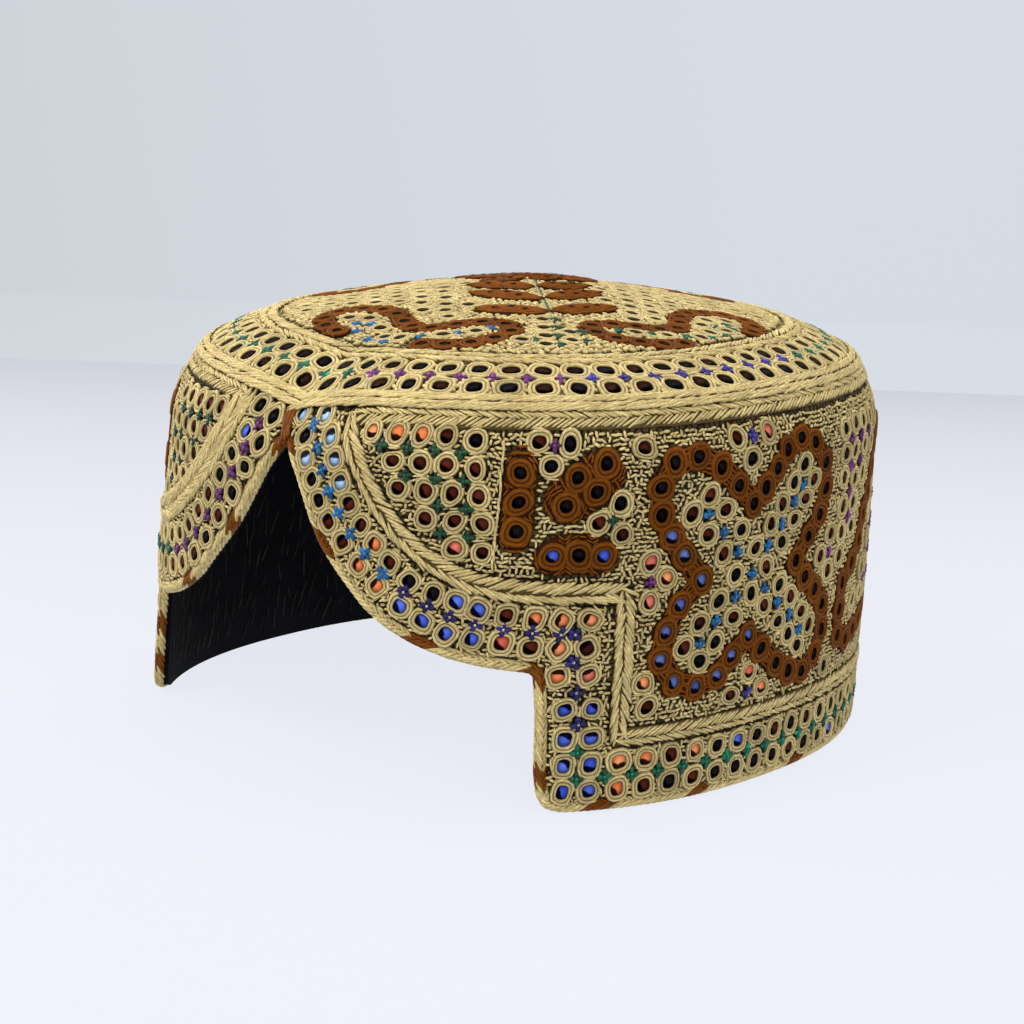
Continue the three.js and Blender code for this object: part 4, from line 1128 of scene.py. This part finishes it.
# round cord along a path: w = r cos a to the side and h = depth + r sin a out
def roundCord(path, offset, radius, depth, place, every, sides):
    l = np.linspace(0, path["length"], int(path["length"] / every), endpoint=False)[:, None]
    turn = np.linspace(0, 2 * np.pi, sides, endpoint=False)[None] + 0 * l
    l = l + 0 * turn
    u, v = alongPath(path, l, offset + radius * np.cos(turn))
    return {"points": place(u, v, depth + radius * np.sin(turn)).reshape(-1, 3),
            "quads": gridQuads(len(l), sides, True, True), "tris": noTris,
            "fibre": np.stack([l, turn * radius], -1).reshape(-1, 2),
            # the core takes the deep straw, painted shade between the strands laid over it
            "dye": np.broadcast_to(dyes["strawShaded"], (l.size, 3))}


# hem and arch binding: a core cord with four slanting rows of strands over its outer half
edgeLook = {"inset": 1.6, "core": 1.25, "depth": -2.1, "pitch": 1.75, "slant": 0.42, "rowGap": 1.75,
            "clear": 0.15, "every": 1.375, "sides": 9}
rustSpans = [(0, 84, 5), (15.5, 59.5, 4), (45, 38.4, 3.6), (73, 33.8, 3.4), (75.2, 9.5, 3), (92, 0, 3.6),
             (119, 0, 2.4), (156, 0, 3.4), (196, 0, 3), (238, 0, 3.2), (281, 0, 3)]
rustSpans += mirrored(rustSpans[4:] + [(0, 84, 5), (14.6, 58.6, 2.8), (34, 40.6, 2.8), (75, 20, 3)])


# lengths along the edge within a brown span: |p - q| < reach
def inRust(l):
    u, v = alongPath(edgePath, l, 0)
    return np.any([np.hypot(u - s, v - z) < reach for s, z, reach in rustSpans], 0)


# binding strands: a herringbone bent round the core, the angle a across it standing for w and h
def bindingPlace(l, w, h):
    bend, r = w / (edgeLook["core"] + edgeLook["clear"]), edgeLook["core"] + h
    u, v = alongPath(edgePath, l, edgeLook["inset"] + r * np.sin(bend))
    return onWall(u, v, edgeLook["depth"] + r * np.cos(bend))


bindAt = evenSteps(edgePath, edgeLook["pitch"])
bindCount, bindRust = len(bindAt), inRust(bindAt)[:, None]
edgeBatches = [roundCord(edgePath, edgeLook["inset"], edgeLook["core"], edgeLook["depth"], onWall,
                         edgeLook["every"], edgeLook["sides"])]
for row, way in ((-1, 1), (0, 1), (1, -1), (2, -1)):
    colour = np.where(bindRust, shades("rust", bindCount, 0.08), shades("straw", bindCount, 0.08))
    spots = np.stack([bindAt + 0.3 * row, (row - 0.3) * edgeLook["rowGap"] + 0 * bindAt], 1)
    lean = way * edgeLook["slant"] + jitter(0.06, bindCount)
    edgeBatches.append(sewn(thread["bind"], spots, lean, bindingPlace, colour, 0.12, tilt=-0.03))

# short brown stem where both sides of the binding meet and run up to the seam
stemPath = makePath([(0.6, 82.6), (-0.4, 85.4), (-1.4, 88.6)], 1, False)
for offset in (-0.9, 0, 0.9):
    edgeBatches.append(laid(stemPath, offset, 1.5, 0.12, onWall, "rust", 0.0, "strand", [[1.6, 1.7]]))

# seam: two cords either side of the fold, each a core with two rows of strands laid along it
seamLook = {"core": 0.55, "apart": 0.66, "inward": 1.2, "lift": 0.0, "pitch": 2.4, "lean": 0.14, "row": 0.32,
            "every": 2.125, "sides": 7, "strandLift": 0.3, "strandSize": [[1.0, 0.7]]}
seamSteps, seamAngles = np.linspace(0, lap, 400), np.linspace(0, 2 * np.pi, 400)
seamWall = makePath(np.stack([seamSteps, seamHeight(angleAt(seamSteps)) - seamLook["apart"]], 1), 0)
seamCrown = makePath(crownSpots(seamAngles, 1 - seamLook["inward"] / seamRadius(seamAngles)), 0)
seamBatches = []
for path, place in ((seamWall, onWall), (seamCrown, onCrown)):
    seamBatches.append(roundCord(path, 0, seamLook["core"], seamLook["lift"], place,
                                 seamLook["every"], seamLook["sides"]))
    for row in (-1, 1):
        seamBatches.append(laid(path, row * seamLook["row"], seamLook["pitch"], seamLook["lean"], place,
                                "straw", seamLook["strandLift"], "lay", seamLook["strandSize"]))
print("braids and cords laid")

# Ground stitches: an uneven grid of small pebbles wherever nothing else is sewn
pebbleLook = {"pitchS": 1.42, "pitchZ": 1.04, "jitter": 0.15, "lift": -0.66, "crownX": 1.75, "crownY": 1.2,
              "length": (0.75, 1.35), "width": (0.85, 1.15), "upright": 0.3, "belowSeam": 2.6,
              "crownJitter": 0.2, "crownLift": -0.5, "crownSize": [[1.3, 1.4]]}
edgeLoop = np.concatenate([edgeSpots[::4], [[lap, 140], [0, 140]]])
ground = gridOf(np.arange(0, lap, pebbleLook["pitchS"]), np.arange(2, 95, pebbleLook["pitchZ"]),
                0.5 * pebbleLook["pitchS"])
ground = ground + jitter(pebbleLook["jitter"], len(ground), 2)
topOfGround = seamHeight(angleAt(ground[:, 0])) - pebbleLook["belowSeam"]
keep = insideLoop(ground, edgeLoop) & (ground[:, 1] < topOfGround)
for others, reach in ((placesOf(rowAll + fieldSpots), 2.95), (chainPoints, 3.1), (rustSpots, 3.7),
                      (placesOf(starAll + fieldStars), 1.5), (panelSpots[::3], 2.9), (edgeSpots[::3], 3.1),
                      (placesOf(smallSpots), 3.9)):
    keep &= farFrom(ground, others, reach)
for path, width, blunt, _ in smallPaths:
    keep &= ~insideLoop(ground, motifOutline(path, width, blunt, 0.45))
ground = ground[keep]
turns = np.where(rng.random(len(ground)) < pebbleLook["upright"], np.pi / 2, 0) + jitter(0.3, len(ground))
pebbles = sewn(thread["pebble"], ground, turns, onWall, shades("straw", len(ground), 0.14),
               pebbleLook["lift"], anySize(len(ground), pebbleLook["length"], pebbleLook["width"]))
print("ground stitches:", len(ground))

topGround = gridOf(np.arange(-84, 84, pebbleLook["crownX"]), np.arange(-84, 84, pebbleLook["crownY"]))
topGround = topGround + jitter(pebbleLook["crownJitter"], len(topGround), 2)
reach = crownShare(*topGround.T)
keep = (reach < 0.968) & (np.abs(reach - crownLook["braidAt"]) > 0.046)
for others, reach in ((cream, 3.3), (creamField, 2.7), (hookSpots, 3.1), (rustAt, 3.2)):
    keep &= farFrom(topGround, others, reach)
for path, width in leaves:
    keep &= ~insideLoop(topGround, motifOutline(path, width, leafLook["blunt"], 0.35))
topGround = topGround[keep]
turns = rng.uniform(-0.6, 0.6, len(topGround))
topPebbles = sewn(thread["pebble"], topGround, turns, onCrown, shades("straw", len(topGround), 0.14),
                  pebbleLook["crownLift"], pebbleLook["crownSize"])
print("crown ground stitches:", len(topGround))


# cloth sheet with both faces and its rims: a lapping grid in (u, v) at the outer and the inner h
def clothSheet(u, v, place, outer, inner):
    rows, columns = u.shape
    count, i = u.size, np.arange(rows)
    top, after = gridQuads(rows, columns, True, False), (i + 1) % rows
    quads = [top[:, ::-1], top + count]
    for j, way in ((0, -1), (columns - 1, 1)):
        near, far = i * columns + j, after * columns + j
        quads.append(np.stack([near, far, far + count, near + count], 1)[:, ::way])
    faces = [place(u, v, np.full(u.shape, h)).reshape(-1, 3) for h in (outer, inner)]
    return {"points": np.concatenate(faces), "quads": np.concatenate(quads)[:, ::-1], "tris": noTris,
            "fibre": np.tile(np.stack([u, v], -1).reshape(-1, 2), (2, 1)),
            "dye": np.full((2 * count, 3), 0.5)}


# wall cloth and lining: columns run from the arch or the hem up to the seam, crown cloth: rings and spokes
clothLook = {"outer": -0.95, "inner": -2.9, "inset": 3.0, "columns": 720, "rows": 10, "crownOuter": -1.0,
             "belowSeam": 0.3, "spokes": 180, "rings": 15, "reach": 0.996}
rimL = np.linspace(0, edgePath["length"], 6000)
columnS = np.linspace(0, lap, clothLook["columns"], endpoint=False)[:, None]
share = 1 - (1 - np.linspace(0, 1, clothLook["rows"])[None]) ** 1.5


# grid of the wall from its rim, inset from the edge, up to the seam: z = low + (top - low) share
def wallGrid(inset):
    rimS, rimZ = alongPath(edgePath, rimL, inset)
    order = np.argsort(rimS, kind="stable")
    low, top = np.interp(columnS, rimS[order], rimZ[order]), seamHeight(angleAt(columnS))
    return columnS + 0 * share, low + (top - clothLook["belowSeam"] - low) * share


wallSheet = clothSheet(*wallGrid(clothLook["inset"]), onWall, clothLook["outer"], clothLook["inner"])
liningSheet = clothSheet(*wallGrid(liningLook["inset"]), onWall, liningLook["outer"], liningLook["inner"])
spokes = np.linspace(0, 2 * np.pi, clothLook["spokes"], endpoint=False)[:, None]
rings = clothLook["reach"] * (1 - np.linspace(0, clothLook["reach"], clothLook["rings"])[None] ** 1.5)
disk = np.moveaxis(crownSpots(spokes, rings), -1, 0)
topSheet = clothSheet(*disk, onCrown, clothLook["crownOuter"], clothLook["inner"])
topLining = clothSheet(*disk[:, :, ::2], onCrown, liningLook["outer"], liningLook["inner"])

# quilting inside: faint upright stitches through the lining, fewer towards the top
quiltLook = {"pitch": 3.3, "rise": 6.6, "lift": -4.2, "jitter": [0.7, 1.2], "lean": 0.2,
             "length": (0.5, 1.3), "width": (0.6, 1.3)}
quilt = gridOf(np.arange(0, lap, quiltLook["pitch"]), np.arange(8, 90, quiltLook["rise"]))
quilt = quilt + jitter(quiltLook["jitter"], len(quilt), 2)
quilt = quilt[insideLoop(quilt, edgeLoop)]
quilt = quilt[farFrom(quilt, edgeSpots[::3], 5.0) & (rng.random(len(quilt)) < 1.1 - quilt[:, 1] / 75)]
count = len(quilt)
quiltTurn = np.pi / 2 + jitter(quiltLook["lean"], count)
quiltSize = anySize(count, quiltLook["length"], quiltLook["width"])
quiltStitches = sewn(thread["quilt"], quilt, quiltTurn, onWall, shades("quilt", count, 0.5).clip(0.004, 1),
                     quiltLook["lift"], quiltSize)

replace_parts(makePiece("bandCloth", [wallSheet], wallGround), "side_band")
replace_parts(makePiece("crownCloth", [topSheet], crownGround), "crown")
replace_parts(makePiece("blackLining", [liningSheet, topLining], liningCloth), "lining")
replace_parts(makePiece("edgeBinding", edgeBatches, strawThread), "edge_cord")
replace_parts(makePiece("seamCords", seamBatches, strawThread),
            "seam_cord_lower", "seam_cord_upper")
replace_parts(makePiece("panelPlait", braidBatches, strawThread), "panel_braid")
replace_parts(makePiece("crownPlait", crownBraid, strawThread), "crown_braid")
rustNodes = [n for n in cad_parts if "motif" in n or "hook" in n or "leaf" in n]
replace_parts(makePiece("rustMotifs", rustBatches, rustThread), *rustNodes)
makePiece("quiltStitches", [quiltStitches], strawThread)
makePiece("wallRings", wallRings, strawThread)
makePiece("crownRings", crownRings, strawThread)
makePiece("mirrorChips", glassBatches, mirrorGlass)
makePiece("colouredStars", starBatches, silkThread)
makePiece("wallPebbles", [pebbles], strawThread)
makePiece("crownPebbles", [topPebbles], strawThread)

# Studio: pale floor and wall that glow a little, so that shadows stay faint, and soft lights
# the floor takes the wall's shade beyond lineAt, in metres away from the camera, so that no wall has to
# stand near the cap
studio = {"azimuth": 41.47, "wallAt": 740.0, "wallYaw": 3.5, "half": 5000.0, "front": 5000.0,
          "height": 3000.0,
          "near": linear(240, 243, 252), "far": linear(206, 208, 218), "left": linear(204, 209, 216),
          "right": linear(215, 222, 230), "matt": 0.05, "glow": 0.9, "lineAt": 0.52,
          "floorFade": (-0.13, 0.52, 2.2), "wallFade": (-0.35, 0.12, 0.7)}
turnSin, turnCos = np.sin(np.radians(studio["azimuth"])), np.cos(np.radians(studio["azimuth"]))
yaw = np.tan(np.radians(studio["wallYaw"]))


# share of the way along one direction from low to high, raised to a power
def shareAlong(shade, direction, low, high, power=1.0):
    along = shade.node("ShaderNodeVectorMath", {"operation": "DOT_PRODUCT"}, {0: shade.place(), 1: direction})
    share = (shade.wire(along, "Value") - low) * (1 / (high - low))
    return shade.wire(shade.node("ShaderNodeClamp", {}, {"Value": share}), "Result") ** power


# studio sheet that glows on its own: the wall's shade runs from left to right, the floor's from near to far
def glowMaterial(name, floor):
    shade = Shade(name)
    tint = shade.ramp(shareAlong(shade, (turnCos, turnSin, 0), *studio["wallFade"]), 0.0, 1.0,
                      studio["left"], studio["right"])
    if floor:
        near = shade.ramp(shareAlong(shade, (-turnSin, turnCos, 0), *studio["floorFade"]), 0.0, 1.0,
                          studio["near"], studio["far"])
        beyond = shareAlong(shade, (yaw * turnCos - turnSin, turnCos + yaw * turnSin, 0),
                            studio["lineAt"] - 0.0005, studio["lineAt"] + 0.0005)
        tint = shade.mix(beyond, near, tint)
    return shade.finish({"Base Color": (studio["matt"],) * 3 + (1,), "Roughness": 0.9, "Emission Color": tint,
                         "Emission Strength": studio["glow"], "Specular IOR Level": 0.0})


# flat sheet of the studio: corners in millimetres, turned to the camera's azimuth
def studioSheet(name, corners, material):
    x, y, z = np.array(corners, float).T * 0.001
    turned = np.stack([x * turnCos - y * turnSin, x * turnSin + y * turnCos, z], 1)
    mesh = bpy.data.meshes.new(name)
    mesh.from_pydata(turned.tolist(), [], [(0, 1, 2, 3)])
    mesh.update()
    mesh.materials.append(material)
    addObject(name, mesh)


slope = yaw * studio["half"]
leftEnd, rightEnd = studio["wallAt"] + slope, studio["wallAt"] - slope
half, front, height = studio["half"], -studio["front"], studio["height"]
studioSheet("studioFloor", [(-half, front, 0), (half, front, 0), (half, rightEnd, 0), (-half, leftEnd, 0)],
            glowMaterial("paleFloor", True))
studioSheet("studioWall", [(-half, leftEnd, 0), (half, rightEnd, 0), (half, rightEnd, height),
                           (-half, leftEnd, height)], glowMaterial("paleWall", False))

lamps = {
    "key": {"at": (-0.35, -1.1, 1.2), "energy": 16.0, "size": 0.7, "colour": (1.0, 0.97, 0.9)},
    "side": {"at": (1.3, -0.4, 0.8), "energy": 9.0, "size": 0.7, "colour": (1.0, 0.98, 0.93)},
    "left": {"at": (-1.3, -0.3, 0.7), "energy": 17.0, "size": 0.8, "colour": (1.0, 0.98, 0.93)},
    "top": {"at": (0.1, 0.3, 1.4), "energy": 11.0, "size": 0.9, "colour": (1.0, 0.98, 0.94)},
}


# place of a lamp or a camera at spot that looks against the direction back, turned by the roll
def lookMatrix(back, spot, roll=0.0):
    right = np.cross([0, 0, 1], back)
    right /= np.linalg.norm(right)
    up = np.cross(back, right)
    rows = np.column_stack([np.cos(roll) * right + np.sin(roll) * up,
                            np.cos(roll) * up - np.sin(roll) * right, back, spot])
    return Matrix([*rows.tolist(), [0, 0, 0, 1]])


for name, lamp in lamps.items():
    data = bpy.data.lights.new(name, "AREA")
    data.energy, data.size, data.color = lamp["energy"], lamp["size"], lamp["colour"]
    back = np.array(lamp["at"]) - [0, 0, 0.05]
    addObject(name, data).matrix_world = lookMatrix(back / np.linalg.norm(back), lamp["at"])
world = bpy.data.worlds.new("softRoom")
world.use_nodes = True
world.node_tree.nodes["Background"].inputs["Color"].default_value = (1.0, 0.98, 0.94, 1)
world.node_tree.nodes["Background"].inputs["Strength"].default_value = 0.4
bpy.context.scene.world = world
bpy.context.scene.view_settings.view_transform = "Standard"

# Camera at the photograph's angle: degrees, target and distance in mm, focal length in pixels
view = {"azimuth": 41.47, "elevation": 12.58, "roll": 1.53, "target": (13.48, -12.99, 55.59),
        "distance": 652.3, "focal": 2541.8, "pixels": 1024, "sensor": 36.0}
azimuth, elevation, roll = (np.radians(view[k]) for k in ("azimuth", "elevation", "roll"))
flat = np.cos(elevation)
back = np.array([np.sin(azimuth) * flat, -np.cos(azimuth) * flat, np.sin(elevation)])
spot = (np.array(view["target"]) - [cap["originX"], cap["originY"], 0] + back * view["distance"]) * 0.001
data = bpy.data.cameras.new("camera")
data.sensor_width = view["sensor"]
data.lens = view["focal"] * view["sensor"] / view["pixels"]
data.clip_start, data.clip_end = 0.01, 50
camera = addObject("camera", data)
camera.matrix_world = lookMatrix(back, spot, roll)
bpy.context.scene.camera = camera
print("camera set")
